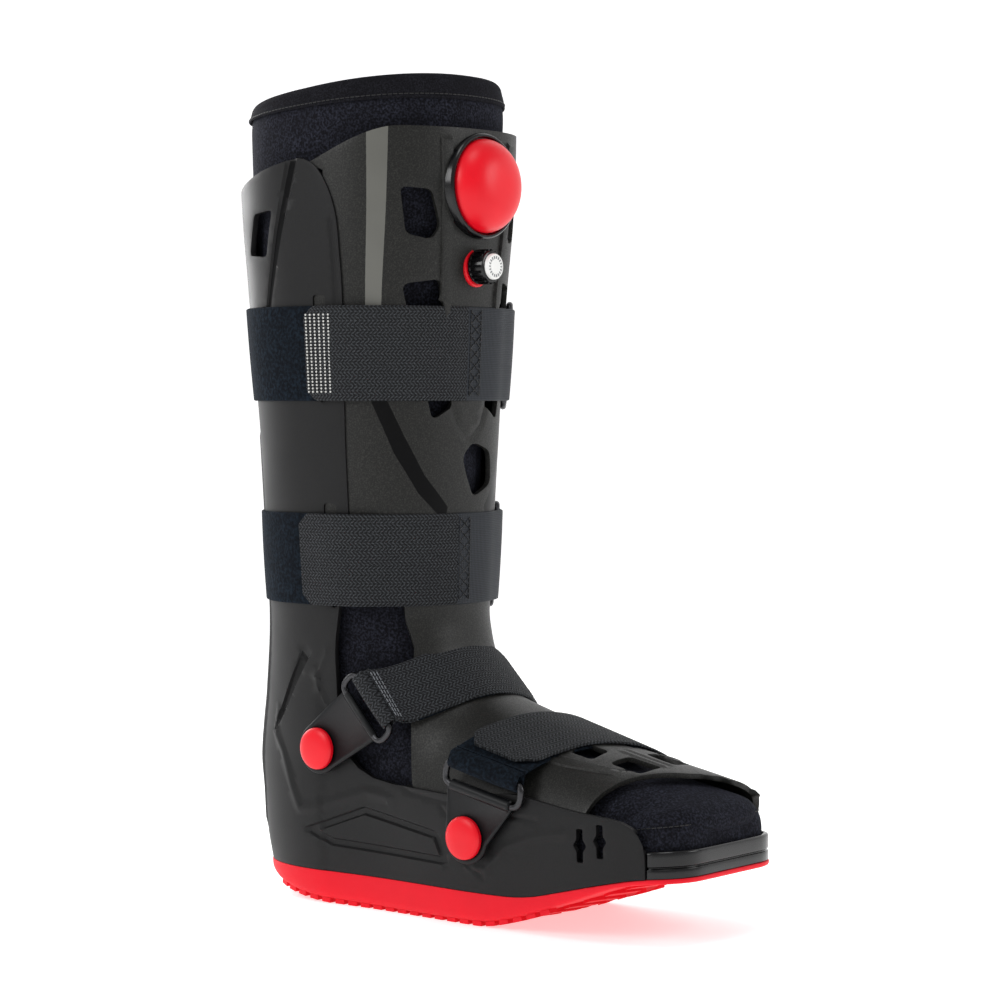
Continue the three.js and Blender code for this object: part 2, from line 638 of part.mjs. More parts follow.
function makeOutsole() {
  const bottom = ROCKER.map(({ along }) => new THREE.Vector2(along * FOOT_LENGTH, rocker(along * FOOT_LENGTH)));
  const top = SOLE_LINE.map(({ along }) => new THREE.Vector2(along * FOOT_LENGTH, soleLine(along * FOOT_LENGTH)));
  const side = new THREE.Shape([...bottom, ...top.reverse()]);
  const levels = SHELL_LEVELS.filter((share) => share <= 0.185);
  const footprint = toSolid(loft(levels.map((share) => shellSection(heightOf(share), -SOLE_EDGE))));
  let sole = footprint.intersect(toSolid(sidePrism(side, -WIDE, WIDE)));
  for (let x = TREAD_PITCH; x < FOOT_LENGTH; x += TREAD_PITCH) {
    const floor = rocker(x);
    const groove = new THREE.BoxGeometry(TREAD_GROOVE, 2 * WIDE, 2 * TREAD_DEPTH);
    sole = sole.subtract(toSolid(groove.translate(x, 0, floor)));
  }
  return toGeometry(sole);
}

// Ledge at the toe, from the end of the shell to just behind the edge of the sole.
const LEDGE_START = 0.94 * FOOT_LENGTH + SEAT_GAP;

function makeToeLedge() {
  const length = FOOT_LENGTH - LEDGE_START;
  const zone = new THREE.BoxGeometry(length, 2 * WIDE, TALL).translate(LEDGE_START + length / 2, 0, 0);
  const ledge = shellBlock(SOLE_EDGE).intersect(toSolid(zone)).intersect(aboveSoleLine(SEAT_GAP));
  return toGeometry(ledge.subtract(aboveSoleLine(LEDGE_HEIGHT)));
}

// Pump, valve and upper strap follow one another down from the panel's upper edge.
const PUMP_MARGIN = 0.41;
const VALVE_MARGIN = 3.67;
const STRAP_MARGIN = 9.79;
const PUMP_HEIGHT = LEG_HEIGHT - BEZEL_DIAMETER / 2 - PUMP_MARGIN;
const VALVE_HEIGHT = PUMP_HEIGHT - BEZEL_DIAMETER / 2 - SEAT_DIAMETER / 2 - VALVE_MARGIN;
const CALF_STRAP_HEIGHT = VALVE_HEIGHT - SEAT_DIAMETER / 2 - CALF_STRAP_WIDTH / 2 - STRAP_MARGIN;

// Leg straps. height is the middle of the strap. Turns are in degrees from the front,
// positive toward the seen side.
const LEG_STRAPS = [
  { name: 'calf', height: CALF_STRAP_HEIGHT, width: CALF_STRAP_WIDTH, ring: -50, tip: 85 },
  { name: 'shin', height: heightOf(0.454), width: SHIN_STRAP_WIDTH, ring: -50, tip: 95 },
];
const PANEL_EDGE_TURN = 42;
const WING_EDGE_TURN = 62;
const WRAP_STEP = 7;

// Distance from the leg's middle line to its outside at a turn and a height.
function legRadius(degrees, z) {
  const turn = THREE.MathUtils.degToRad(degrees);
  const polar = (long, half) => (
    (Math.abs(Math.cos(turn)) / long) ** SHELL_POWER + (Math.abs(Math.sin(turn)) / half) ** SHELL_POWER
  ) ** (-1 / SHELL_POWER);
  const panel = polar(panelFront(z) - LEG_CENTRE, shellHalf(z) - PANEL_SEAT);
  const shell = polar(LEG_CENTRE - shellBack(z), shellHalf(z));
  const around = Math.abs(((degrees + 180) % 360) - 180);
  return THREE.MathUtils.lerp(panel, shell, THREE.MathUtils.smoothstep(around, PANEL_EDGE_TURN, WING_EDGE_TURN));
}

function legPoint(degrees, z, offset) {
  const turn = THREE.MathUtils.degToRad(degrees);
  const radius = legRadius(degrees, z) + offset;
  return new THREE.Vector3(LEG_CENTRE + radius * Math.cos(turn), -radius * Math.sin(turn), z);
}

// Band around the leg between two turns, at an offset from the outside.
function legWrap(strap, fromTurn, toTurn, offset) {
  const steps = Math.ceil((toTurn - fromTurn) / WRAP_STEP);
  const grid = (distance) => {
    const rows = [];
    for (let step = 0; step <= steps; step += 1) {
      const degrees = Math.min(fromTurn + step * WRAP_STEP, toTurn);
      rows.push([-1, 0, 1].map((side) => legPoint(degrees, strap.height + side * strap.width / 2, distance)));
    }
    return rows;
  };
  return slab(grid(offset + STRAP_THICK), grid(offset));
}

// Turn from a strap's ring, to one side, at which the leg's outside is a length away.
const TURN_STEP = 0.05;

function turnOf(strap, direction, length) {
  const ring = legPoint(strap.ring, strap.height, 0);
  let turn = 0;
  while (legPoint(strap.ring + direction * turn, strap.height, 0).distanceTo(ring) < length) turn += TURN_STEP;
  return turn;
}

const RETURN_OFFSET = STRAP_THICK + 2 * FIT;
const WRAP_GAP = 0.7;

// Wire ring in its own plane: a rounded rectangle of round wire, with the long side on
// its first axis.
function wireRing(length) {
  const bend = RING_WIRE;
  const sides = 8;
  const centres = [[1, 1], [-1, 1], [-1, -1], [1, -1]];
  const points = [];
  const halfLong = (length - RING_WIRE) / 2 - bend;
  const halfShort = (RING_DEPTH - RING_WIRE) / 2 - bend;
  centres.forEach(([u, v], corner) => {
    for (const part of [0, 45, 90]) {
      const turn = THREE.MathUtils.degToRad(corner * 90 + part);
      const outward = new THREE.Vector3(Math.cos(turn), Math.sin(turn), 0);
      const middle = new THREE.Vector3(u * halfLong, v * halfShort, 0).addScaledVector(outward, bend);
      for (let side = 0; side < sides; side += 1) {
        const roll = (2 * Math.PI * side) / sides;
        const reach = (RING_WIRE / 2) * Math.cos(roll);
        const lift = (RING_WIRE / 2) * Math.sin(roll);
        points.push(middle.clone().addScaledVector(outward, reach).addScaledVector(AXIS_Z, lift));
      }
    }
  });
  const stations = points.length / sides;
  const faces = [];
  for (let station = 0; station < stations; station += 1) {
    for (let side = 0; side < sides; side += 1) {
      const next = ((station + 1) % stations) * sides;
      const here = station * sides;
      const turnOn = (side + 1) % sides;
      faces.push([here + side, next + side, next + turnOn], [here + side, next + turnOn, here + turnOn]);
    }
  }
  return meshOf(points, faces);
}

const RING_LIFT = 1.6;
const ringLength = (width) => width + 2 * (RING_WIRE + RING_MARGIN);

// Frame of a leg ring: along the strap's width, around the leg and away from it.
function legRingFrame(strap) {
  const middle = strap.height;
  const up = legPoint(strap.ring, middle + 1, 0).sub(legPoint(strap.ring, middle - 1, 0)).normalize();
  const around = legPoint(strap.ring - 2, middle, 0).sub(legPoint(strap.ring + 2, middle, 0)).normalize();
  const away = new THREE.Vector3().crossVectors(up, around).normalize();
  if (away.y * legPoint(strap.ring, middle, 0).y < 0) away.negate();
  const seat = legPoint(strap.ring, middle, 0).addScaledVector(away, RING_LIFT + RING_WIRE / 2);
  return new THREE.Matrix4().makeBasis(up, new THREE.Vector3().crossVectors(away, up), away).setPosition(seat);
}

// Foot straps from the seen side to the far side. across is a share of the boot's width
// there, x of FOOT_LENGTH and z a height; top and bottom are the two edges of the strap.
const ANKLE_ROUTE = [
  { across: -0.5201, topX: 0.336, topZ: 0.3105, bottomX: 0.409, bottomZ: 0.2515 },
  { across: -0.4449, topX: 0.366, topZ: 0.314, bottomX: 0.431, bottomZ: 0.25 },
  { across: -0.3072, topX: 0.403, topZ: 0.327, bottomX: 0.474, bottomZ: 0.265 },
  { across: -0.1271, topX: 0.4155, topZ: 0.341, bottomX: 0.505, bottomZ: 0.278 },
  { across: 0.0636, topX: 0.421, topZ: 0.341, bottomX: 0.512, bottomZ: 0.2757 },
  { across: 0.2542, topX: 0.417, topZ: 0.327, bottomX: 0.504, bottomZ: 0.264 },
  { across: 0.4237, topX: 0.394, topZ: 0.3065, bottomX: 0.47, bottomZ: 0.245 },
  { across: 0.5201, topX: 0.356, topZ: 0.2925, bottomX: 0.428, bottomZ: 0.2345 },
];
const FOREFOOT_ROUTE = [
  { across: -0.527, topX: 0.5545, topZ: 0.2195, bottomX: 0.7025, bottomZ: 0.196 },
  { across: -0.45, topX: 0.558, topZ: 0.231, bottomX: 0.7025, bottomZ: 0.205 },
  { across: -0.29, topX: 0.574, topZ: 0.2465, bottomX: 0.711, bottomZ: 0.2165 },
  { across: -0.08, topX: 0.597, topZ: 0.2565, bottomX: 0.736, bottomZ: 0.2255 },
  { across: 0.15, topX: 0.613, topZ: 0.25, bottomX: 0.764, bottomZ: 0.219 },
  { across: 0.32, topX: 0.627, topZ: 0.232, bottomX: 0.782, bottomZ: 0.201 },
  { across: 0.45, topX: 0.637, topZ: 0.208, bottomX: 0.7905, bottomZ: 0.1765 },
  { across: 0.527, topX: 0.641, topZ: 0.19, bottomX: 0.7905, bottomZ: 0.163 },
];
const ANKLE_SPAN = 2 * shellHalf(heightOf(0.281));
const FOOT_STRAPS = [
  { name: 'ankle', route: ANKLE_ROUTE, span: ANKLE_SPAN, width: ANKLE_STRAP_WIDTH, tabLength: 30, shift: -4.3 },
  { name: 'forefoot', route: FOREFOOT_ROUTE, span: FOOT_WIDTH, width: FOREFOOT_STRAP_WIDTH, tabLength: 20, shift: -4.2 },
];
const FOOT_TIP = 0.13;
const FOOT_WRAP_STEPS = 18;

function routeCurve(strap, keyX, keyZ) {
  return new THREE.CatmullRomCurve3(strap.route.map((row) => (
    new THREE.Vector3(row[keyX] * FOOT_LENGTH, row.across * strap.span, heightOf(row[keyZ]))
  )));
}

// Points of a foot strap at shares of its route, held out from the route by an offset.
function footWrapGrid(strap, fromShare, toShare, offset) {
  const top = routeCurve(strap, 'topX', 'topZ');
  const bottom = routeCurve(strap, 'bottomX', 'bottomZ');
  const rows = [];
  for (let step = 0; step <= FOOT_WRAP_STEPS; step += 1) {
    const share = fromShare + (toShare - fromShare) * (step / FOOT_WRAP_STEPS);
    const [high, low] = [top.getPoint(share), bottom.getPoint(share)];
    const along = top.getTangent(share).add(bottom.getTangent(share));
    const away = along.cross(low.clone().sub(high)).normalize().negate();
    rows.push([high.addScaledVector(away, offset), low.addScaledVector(away, offset)]);
  }
  return rows;
}

function footWrap(strap, fromShare, toShare, offset) {
  const outer = footWrapGrid(strap, fromShare, toShare, offset + STRAP_THICK);
  const band = slab(outer, footWrapGrid(strap, fromShare, toShare, offset));
  return toGeometry(toSolid(band).subtract(panelBlock(SEAT_GAP)));
}

// Side hardware of a foot strap: the ring at the end of the route, the tab that holds it
// and the rivet of the tab. side is -1 on the seen side and 1 on the far side.
function sideFrame(strap, side) {
  const row = side < 0 ? strap.route[0] : strap.route.at(-1);
  const high = new THREE.Vector2(row.topX * FOOT_LENGTH, heightOf(row.topZ));
  const low = new THREE.Vector2(row.bottomX * FOOT_LENGTH, heightOf(row.bottomZ));
  const bar = low.clone().sub(high).normalize();
  const away = new THREE.Vector2(bar.y, -bar.x);
  const end = high.add(low).divideScalar(2);
  return {
    bar,
    away,
    ring: end.clone().addScaledVector(away, RING_DEPTH / 2 + WRAP_GAP),
    tab: end.clone().addScaledVector(away, RING_DEPTH + 2 * WRAP_GAP),
    rivet: end.clone().addScaledVector(away, RING_DEPTH + 2 * WRAP_GAP + strap.tabLength)
      .addScaledVector(bar, strap.shift),
    y: row.across * strap.span,
  };
}

function makeSideTab(strap, side) {
  const { bar, tab, rivet, y } = sideFrame(strap, side);
  const round = RIVET_DIAMETER / 2 + TAB_THICK;
  const heading = Math.atan2(bar.y, bar.x);
  const shape = new THREE.Shape();
  const edge = tab.clone().addScaledVector(bar, -strap.width / 2);
  shape.moveTo(edge.x, edge.y);
  shape.absarc(rivet.x, rivet.y, round, heading - Math.PI, heading, false);
  edge.copy(tab).addScaledVector(bar, strap.width / 2);
  shape.lineTo(edge.x, edge.y);
  shape.closePath();
  const hole = new THREE.Path();
  hole.absarc(rivet.x, rivet.y, RIVET_SHANK / 2 + SEAT_GAP, 0, 2 * Math.PI, true);
  shape.holes.push(hole);
  return sidePrism(shape, y - TAB_THICK / 2, y + TAB_THICK / 2, 8);
}

const RIVET_SHANK = 8;
const RIVET_GAP = 0.5;

// Rivet along the outward axis: a domed head over the tab and a shank down to the tray.
function makeRivet(strap, side) {
  const { rivet, y } = sideFrame(strap, side);
  const head = Math.abs(y) + TAB_THICK / 2 + SEAT_GAP;
  const wall = wallHalf(rivet.x, rivet.y) + RIVET_GAP;
  const radius = RIVET_DIAMETER / 2;
  const profile = [
    [0, wall], [RIVET_SHANK / 2, wall], [RIVET_SHANK / 2, head], [radius, head],
    [radius, head + RIVET_HEIGHT * 0.4], [radius * 0.85, head + RIVET_HEIGHT * 0.8],
    [radius * 0.5, head + RIVET_HEIGHT], [0, head + RIVET_HEIGHT],
  ];
  const points = profile.map(([reach, height]) => new THREE.Vector2(reach, height));
  const body = new THREE.LatheGeometry(points, 18).rotateZ(side < 0 ? Math.PI : 0);
  return body.translate(rivet.x, 0, rivet.y);
}

// Half width of the boot's hard side at a point of the side view.
function wallHalf(x, z) {
  const section = shellSection(z, 0).slice(0, 2 * QUARTER_STEPS + 1);
  const next = section.findIndex((point) => point.x >= x);
  const [from, to] = [section[next - 1], section[next]];
  return THREE.MathUtils.mapLinear(x, from.x, to.x, from.y, to.y);
}

// Pump: a bezel ring and a dome that face forward, fitted to the front panel.
function frontLathe(profile, height, segments = 32) {
  const points = profile.map(([reach, x]) => new THREE.Vector2(reach, x));
  return new THREE.LatheGeometry(points, segments).rotateZ(-Math.PI / 2).translate(0, 0, height);
}

function fittedToPanel(geometry) {
  return toGeometry(toSolid(geometry).subtract(panelBlock(SEAT_GAP)));
}

const PUMP_BASE = panelFront(PUMP_HEIGHT);
const BULB_GAP = 0.3;

function makeBezel() {
  const outer = BEZEL_DIAMETER / 2;
  const inner = BULB_DIAMETER / 2 + BULB_GAP;
  const back = PUMP_BASE - BEZEL_DIAMETER / 4;
  const front = PUMP_BASE + BEZEL_HEIGHT;
  const edge = (outer - inner) / 3;
  const profile = [[inner, back], [outer, back], [outer, front - edge], [outer - edge, front], [inner, front], [inner, back]];
  return fittedToPanel(frontLathe(profile, PUMP_HEIGHT));
}

function makeBulb() {
  const radius = BULB_DIAMETER / 2;
  const front = PUMP_BASE + BEZEL_HEIGHT * 0.6;
  const profile = [[0, PUMP_BASE - BEZEL_DIAMETER / 4], [radius, PUMP_BASE - BEZEL_DIAMETER / 4]];
  const steps = 6;
  for (let step = 0; step <= steps; step += 1) {
    const turn = (Math.PI / 2) * (step / steps);
    const reach = step === steps ? 0 : radius * Math.cos(turn) ** 0.8;
    profile.push([reach, front + (BULB_RISE - BEZEL_HEIGHT * 0.6) * Math.sin(turn)]);
  }
  return fittedToPanel(frontLathe(profile, PUMP_HEIGHT));
}

// Air valve: a seat on the panel, a ribbed knob that turns about X, and its cap.
const VALVE_BASE = panelFront(VALVE_HEIGHT) + SEAT_HEIGHT;

function makeValveSeat() {
  const radius = SEAT_DIAMETER / 2;
  const back = VALVE_BASE - SEAT_DIAMETER / 2;
  const profile = [[0, back], [radius, back], [radius, VALVE_BASE - 1], [radius - 1, VALVE_BASE], [0, VALVE_BASE]];
  return fittedToPanel(frontLathe(profile, VALVE_HEIGHT));
}

function makeKnob() {
  const shape = new THREE.Shape();
  const outer = KNOB_DIAMETER / 2;
  for (let rib = 0; rib < 2 * KNOB_RIBS; rib += 1) {
    const turn = (Math.PI * rib) / KNOB_RIBS;
    const reach = rib % 2 === 0 ? outer : outer - 0.7;
    const [y, z] = [reach * Math.cos(turn), reach * Math.sin(turn)];
    if (rib === 0) shape.moveTo(y, z);
    else shape.lineTo(y, z);
  }
  shape.closePath();
  return frontPrism(shape, 0, KNOB_HEIGHT);
}

function makeCap() {
  const radius = CAP_DIAMETER / 2;
  return frontLathe([[0, 0], [radius, 0], [radius, CAP_HEIGHT * 0.6], [radius * 0.8, CAP_HEIGHT], [0, CAP_HEIGHT]], 0, 24);
}

// Materials
const material = (color, roughness, metalness = 0) => new THREE.MeshStandardMaterial({ color, roughness, metalness });
const SHELL_BLACK = material(0x2d2d2f, 0.55);
const PANEL_OLIVE = material(0x4a4a46, 0.5);
const GLOSS_BLACK = material(0x18181a, 0.2);
const LINER_BLACK = material(0x1f1f23, 0.95);
const SOLE_RED = material(0xf01a38, 0.6);
const RUBBER_RED = material(0xf5333f, 0.45);
const VELOUR_NAVY = material(0x1b232d, 0.95);
const WOVEN_GREY = material(0x3a3c40, 0.85);
const WIRE_STEEL = material(0x5a5c60, 0.3, 1);
const CAP_WHITE = material(0xf2f2f0, 0.4);

const boot = new THREE.Group();

function addPiece(name, geometry, look, holder = boot) {
  const mesh = new THREE.Mesh(geometry, look);
  mesh.name = name;
  holder.add(mesh);
  return mesh;
}

addPiece('outsole', makeOutsole(), SOLE_RED);
addPiece('boot_shell', makeShell(), SHELL_BLACK);
addPiece('toe_ledge', makeToeLedge(), GLOSS_BLACK);
addPiece('front_panel', makePanel(), PANEL_OLIVE);
addPiece('liner', makeLiner(), LINER_BLACK);

for (const strap of LEG_STRAPS) {
  const start = strap.ring + turnOf(strap, 1, RING_DEPTH / 2 + WRAP_GAP);
  const end = strap.ring + 360 - turnOf(strap, -1, RING_DEPTH / 2 + WRAP_GAP);
  addPiece(`${strap.name}_strap`, legWrap(strap, start, end, FIT), VELOUR_NAVY);
  addPiece(`${strap.name}_hook_tab`, legWrap(strap, start, strap.tip, RETURN_OFFSET), WOVEN_GREY);
  const ring = addPiece(`${strap.name}_ring`, wireRing(ringLength(strap.width)), WIRE_STEEL);
  ring.applyMatrix4(legRingFrame(strap));
}

for (const strap of FOOT_STRAPS) {
  addPiece(`${strap.name}_strap`, footWrap(strap, 0, 1, 0), VELOUR_NAVY);
  addPiece(`${strap.name}_hook_tab`, footWrap(strap, FOOT_TIP, 1, STRAP_THICK + FIT), WOVEN_GREY);
  for (const [place, side] of [['left', 1], ['right', -1]]) {
    const { bar, away, ring, y } = sideFrame(strap, side);
    const hoop = addPiece(`${strap.name}_ring_${place}`, wireRing(ringLength(strap.width)), WIRE_STEEL);
    const barAxis = new THREE.Vector3(bar.x, 0, bar.y);
    const awayAxis = new THREE.Vector3(away.x, 0, away.y);
    const face = new THREE.Vector3().crossVectors(barAxis, awayAxis);
    hoop.applyMatrix4(new THREE.Matrix4().makeBasis(barAxis, awayAxis, face).setPosition(ring.x, y, ring.y));
    addPiece(`${strap.name}_tab_${place}`, makeSideTab(strap, side), GLOSS_BLACK);
    addPiece(`${strap.name}_rivet_${place}`, makeRivet(strap, side), RUBBER_RED);
  }
}

addPiece('pump_bezel', makeBezel(), GLOSS_BLACK);
addPiece('pump_bulb', makeBulb(), RUBBER_RED);
addPiece('valve_seat', makeValveSeat(), RUBBER_RED);

const valve = new THREE.Group();
valve.position.set(VALVE_BASE + SEAT_GAP, 0, VALVE_HEIGHT);
addPiece('valve_knob', makeKnob(), GLOSS_BLACK, valve);
addPiece('valve_cap', makeCap().translate(KNOB_HEIGHT + SEAT_GAP, 0, 0), CAP_WHITE, valve);
boot.add(valve);

// The boot stands with the middle of its outline in plan over the origin.
const outline = new THREE.Box3().setFromObject(boot, true);
boot.position.set(-(outline.min.x + outline.max.x) / 2, -(outline.min.y + outline.max.y) / 2, -outline.min.z);

export default boot;
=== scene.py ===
import math
from bisect import bisect_right

import bmesh
import bpy
import numpy as np
from bpy.props import FloatProperty, FloatVectorProperty, PointerProperty
from mathutils import Matrix, Vector
from mathutils.geometry import delaunay_2d_cdt


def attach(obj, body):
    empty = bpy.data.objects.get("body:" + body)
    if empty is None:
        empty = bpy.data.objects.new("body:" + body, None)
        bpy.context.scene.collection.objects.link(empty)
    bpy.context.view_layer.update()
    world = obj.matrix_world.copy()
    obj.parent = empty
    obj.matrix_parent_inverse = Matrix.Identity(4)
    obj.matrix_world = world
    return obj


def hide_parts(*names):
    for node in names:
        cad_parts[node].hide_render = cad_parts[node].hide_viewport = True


bl_info = {
    "name": "Walking Boot",
    "version": (1, 0, 0),
    "blender": (4, 5, 0),
    "location": "View3D > Sidebar > Boot",
    "description": "Builds the looks of a medical walking boot, piece by piece",
    "category": "Add Mesh",
}

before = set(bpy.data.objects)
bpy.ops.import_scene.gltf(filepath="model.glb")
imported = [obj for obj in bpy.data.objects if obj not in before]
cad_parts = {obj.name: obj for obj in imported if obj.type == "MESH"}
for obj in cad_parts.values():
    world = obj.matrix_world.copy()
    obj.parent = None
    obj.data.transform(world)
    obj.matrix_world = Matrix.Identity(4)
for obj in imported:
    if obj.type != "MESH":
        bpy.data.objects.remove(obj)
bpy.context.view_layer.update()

# Lengths are in millimetres until a mesh is made. X runs from the heel to the toe, Y
# across the boot and Z up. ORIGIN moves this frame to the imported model's.
MM = 0.001
ORIGIN = np.array((-140.19, 0.40, -2.50))
CLEAR = 0.3

FOOT_LENGTH = 284.0
LEG_HEIGHT = 390.0
LEG_WIDTH = 131.0
FOOT_WIDTH = 102.0
RIM_RISE = 29.0
LEG_CENTRE = 66.0
SOLE_TOP = 19.0
SOLE_THICK = 16.5
SHELL_POWER = 2.3
SHELL_WALL = 2.8
PANEL_WALL = 2.5
PANEL_SEAT = 3.2
LINER_SEAT = 3.45


def follow(places, values):
    """A smooth curve through a table's rows: returns the value at a place."""
    last = len(places) - 1
    slopes = []
    for i in range(last + 1):
        before, after = max(i - 1, 0), min(i + 1, last)
        slopes.append((values[after] - values[before]) / (places[after] - places[before]))

    def value(place):
        i = min(max(bisect_right(places, place) - 1, 0), last - 1)
        span = places[i + 1] - places[i]
        t = min(max((place - places[i]) / span, 0.0), 1.0)
        rise = t * t * (3 - 2 * t)
        into = t * (1 - t) * (1 - t) * span * slopes[i]
        out = t * t * (1 - t) * span * slopes[i + 1]
        return values[i] + (values[i + 1] - values[i]) * rise + into - out

    return value


def table_column(table, key, name, key_size, size):
    """A smooth curve of one column of a table over its key, both scaled to lengths."""
    return follow([row * key_size for row in table[key]], [row * size for row in table[name]])


# Leg sections: height is a share of the leg's height, back and front of the foot's
# length, half of the leg's width.
LEG_SECTIONS = {
    "height": (0.02, 0.046, 0.09, 0.146, 0.185, 0.23, 0.272, 0.367, 0.48, 0.6, 0.7, 0.79, 0.913, 1.02),
    "back": (
        0.034, 0.022, 0.008, 0.002, -0.004, 0.003, 0.013,
        0.028, 0.025, 0.019, 0.009, -0.002, -0.017, -0.023,
    ),
    "half": (0.34, 0.345, 0.353, 0.359, 0.359, 0.362, 0.366, 0.382, 0.407, 0.435, 0.458, 0.477, 0.496, 0.5),
    "front": (*[0.421] * 8, 0.424, 0.43, 0.435, 0.441, 0.458, 0.463),
}
FOOT_PLAN = {
    "along": (0.2324, 0.35, 0.46, 0.565, 0.68, 0.78, 0.87, 0.93),
    "half": (0.455, 0.452, 0.47, 0.49, 0.499, 0.5, 0.487, 0.468),
}
SOLE_LINE = {
    "along": (-0.1, 0.4, 0.65, 0.71, 0.775, 0.86, 0.94, 1.1),
    "rise": (0, 0, 0, 0.004, 0.015, 0.03, 0.041, 0.046),
}
ROCKER = {
    "along": (-0.1, 0.03, 0.1, 0.17, 0.25, 0.59, 0.67, 0.775, 0.9, 1.1),
    "lift": (0.04, 0.033, 0.015, 0.005, 0, 0, 0.011, 0.036, 0.067, 0.085),
}
shell_back = table_column(LEG_SECTIONS, "height", "back", LEG_HEIGHT, FOOT_LENGTH)
shell_half = table_column(LEG_SECTIONS, "height", "half", LEG_HEIGHT, LEG_WIDTH)
panel_front = table_column(LEG_SECTIONS, "height", "front", LEG_HEIGHT, FOOT_LENGTH)
foot_plan = table_column(FOOT_PLAN, "along", "half", FOOT_LENGTH, FOOT_WIDTH)
sole_rise = table_column(SOLE_LINE, "along", "rise", FOOT_LENGTH, LEG_HEIGHT)
rocker_lift = table_column(ROCKER, "along", "lift", FOOT_LENGTH, LEG_HEIGHT)
TRAY_TOP = 0.185 * LEG_HEIGHT
TOE_CORNER = 22.0
BLEND_FROM = 0.18 * LEG_HEIGHT
BLEND_TO = 0.36 * LEG_HEIGHT


def sole_line(x):
    """Height of the line between shell and sole."""
    return SOLE_TOP + sole_rise(x)


def rocker(x):
    """Height of the walking surface."""
    return SOLE_TOP - SOLE_THICK + rocker_lift(x)


def smooth_step(value, low, high):
    """0 below low, 1 above high and a smooth rise between them."""
    t = min(max((value - low) / (high - low), 0.0), 1.0)
    return t * t * (3 - 2 * t)


def tray_half(x, z):
    """Half width of the tray, rounded off at the toe."""
    draw = shell_half(min(z, TRAY_TOP)) / shell_half(TRAY_TOP)
    corner = FOOT_LENGTH - TOE_CORNER
    if x <= corner:
        return foot_plan(x) * draw
    over = min((x - corner) / TOE_CORNER, 1.0)
    return foot_plan(corner) * draw - TOE_CORNER * (1 - math.sqrt(1 - over * over))


def leg_half(x, z):
    """Half width of the leg's outside in front of its middle line."""
    reach = (x - LEG_CENTRE) / (LEG_CENTRE - shell_back(z))
    return shell_half(z) * max(1 - min(reach, 1.0) ** SHELL_POWER, 0.0) ** (1 / SHELL_POWER)


def side_half(x, z):
    """Half width of tray and leg in front of the leg's middle line."""
    share = smooth_step(z, BLEND_FROM, BLEND_TO)
    tray = tray_half(x, z) if share < 1 else 0.0
    return tray + (leg_half(x, z) - tray) * share if share > 0 else tray


# The shell is laid out on a flat plan: across runs from the middle of the heel to the
# front, up is the height. Behind the leg's middle line the plan goes round the heel.
HEEL_RUN = 95.0


def shell_point(across, up, depth=0.0):
    """Point of the shell's outside from the flat plan, set in by a depth."""
    side = -1.0 if across < 0 else 1.0
    run = abs(across)
    if run <= HEEL_RUN:
        turn = run / HEEL_RUN * math.pi / 2
        long = LEG_CENTRE - shell_back(up) - depth
        x = LEG_CENTRE - long * max(math.cos(turn), 0.0) ** (2 / SHELL_POWER)
        y = (shell_half(up) - depth) * math.sin(turn) ** (2 / SHELL_POWER)
    else:
        x = LEG_CENTRE + run - HEEL_RUN
        y = side_half(x, up) - depth
    return np.array((x, side * y, up))


def shell_plan(x, z, side):
    """Place on the flat plan of a point in the side view."""
    if x >= LEG_CENTRE:
        return (side * (HEEL_RUN + x - LEG_CENTRE), z)
    reach = min(max((LEG_CENTRE - x) / (LEG_CENTRE - shell_back(z)), 0.0), 1.0)
    turn = math.acos(min(reach ** (SHELL_POWER / 2), 1.0))
    return (side * turn / (math.pi / 2) * HEEL_RUN, z)


# Rows of panel and liner. Each has a top, a side and an under point in the middle plane,
# as shares of the foot's length and the leg's height, and reach, the share of the side
# that the panel covers. half is a share of the foot's width, or 0 for the tray's own.
LEG_LEVELS = (1.003, 0.97, 0.94, 0.88, 0.79, 0.7, 0.6, 0.49, 0.46, 0.43, 0.4, 0.375)
PANEL_REACH = {"height": (0.37, 0.41, 0.44, 0.47, 0.5, 0.94), "reach": (0.43, 0.47, 0.62, 0.84, 0.93, 0.94)}
panel_reach = follow(PANEL_REACH["height"], PANEL_REACH["reach"])
FOOT_ROWS = (
    # topX, topZ, sideX, sideZ, underX, underZ, half, reach
    (0.428, 0.352, 0.27, 0.3, 0.042, 0.26, 0, 0.43),
    (0.434, 0.336, 0.3, 0.268, 0.036, 0.215, 0, 0.48),
    (0.453, 0.313, 0.33, 0.235, 0.034, 0.16, 0, 0.57),
    (0.472, 0.296, 0.352, 0.215, 0.05, 0.112, 0, 0.66),
    (0.493, 0.283, 0.385, 0.175, 0.12, 0.077, 0, 0.76),
    (0.516, 0.275, 0.42, 0.14, 0.28, 0.073, 0, 0.88),
    (0.56, 0.264, 0.49, 0.128, 0.42, 0.072, 0, 1),
    (0.606, 0.253, 0.565, 0.126, 0.55, 0.072, 0, 1),
    (0.665, 0.238, 0.64, 0.126, 0.63, 0.072, 0, 1),
    (0.725, 0.227, 0.71, 0.126, 0.705, 0.078, 0, 1),
    (0.827, 0.21, 0.82, 0.128, 0.82, 0.095, 0, 1),
    (0.912, 0.197, 0.915, 0.132, 0.9, 0.108, 0.435, 1),
    (0.968, 0.186, 0.968, 0.15, 0.95, 0.131, 0.4, 1),
)
TOE_ROWS = (
    (0.99, 0.174, 0.99, 0.148, 0.985, 0.132, 0.33, 1),
    (1.005, 0.161, 1.005, 0.147, 1.002, 0.136, 0.26, 1),
)
COLLAR = (
    # rise and fall as shares of the rim's rise, bulge as a share of the leg's width
    (0.12, 0.06, 0.0),
    (0.5, 0.24, 0.004),
    (0.85, 0.36, -0.01),
    (1.0, 0.42, -0.03),
)


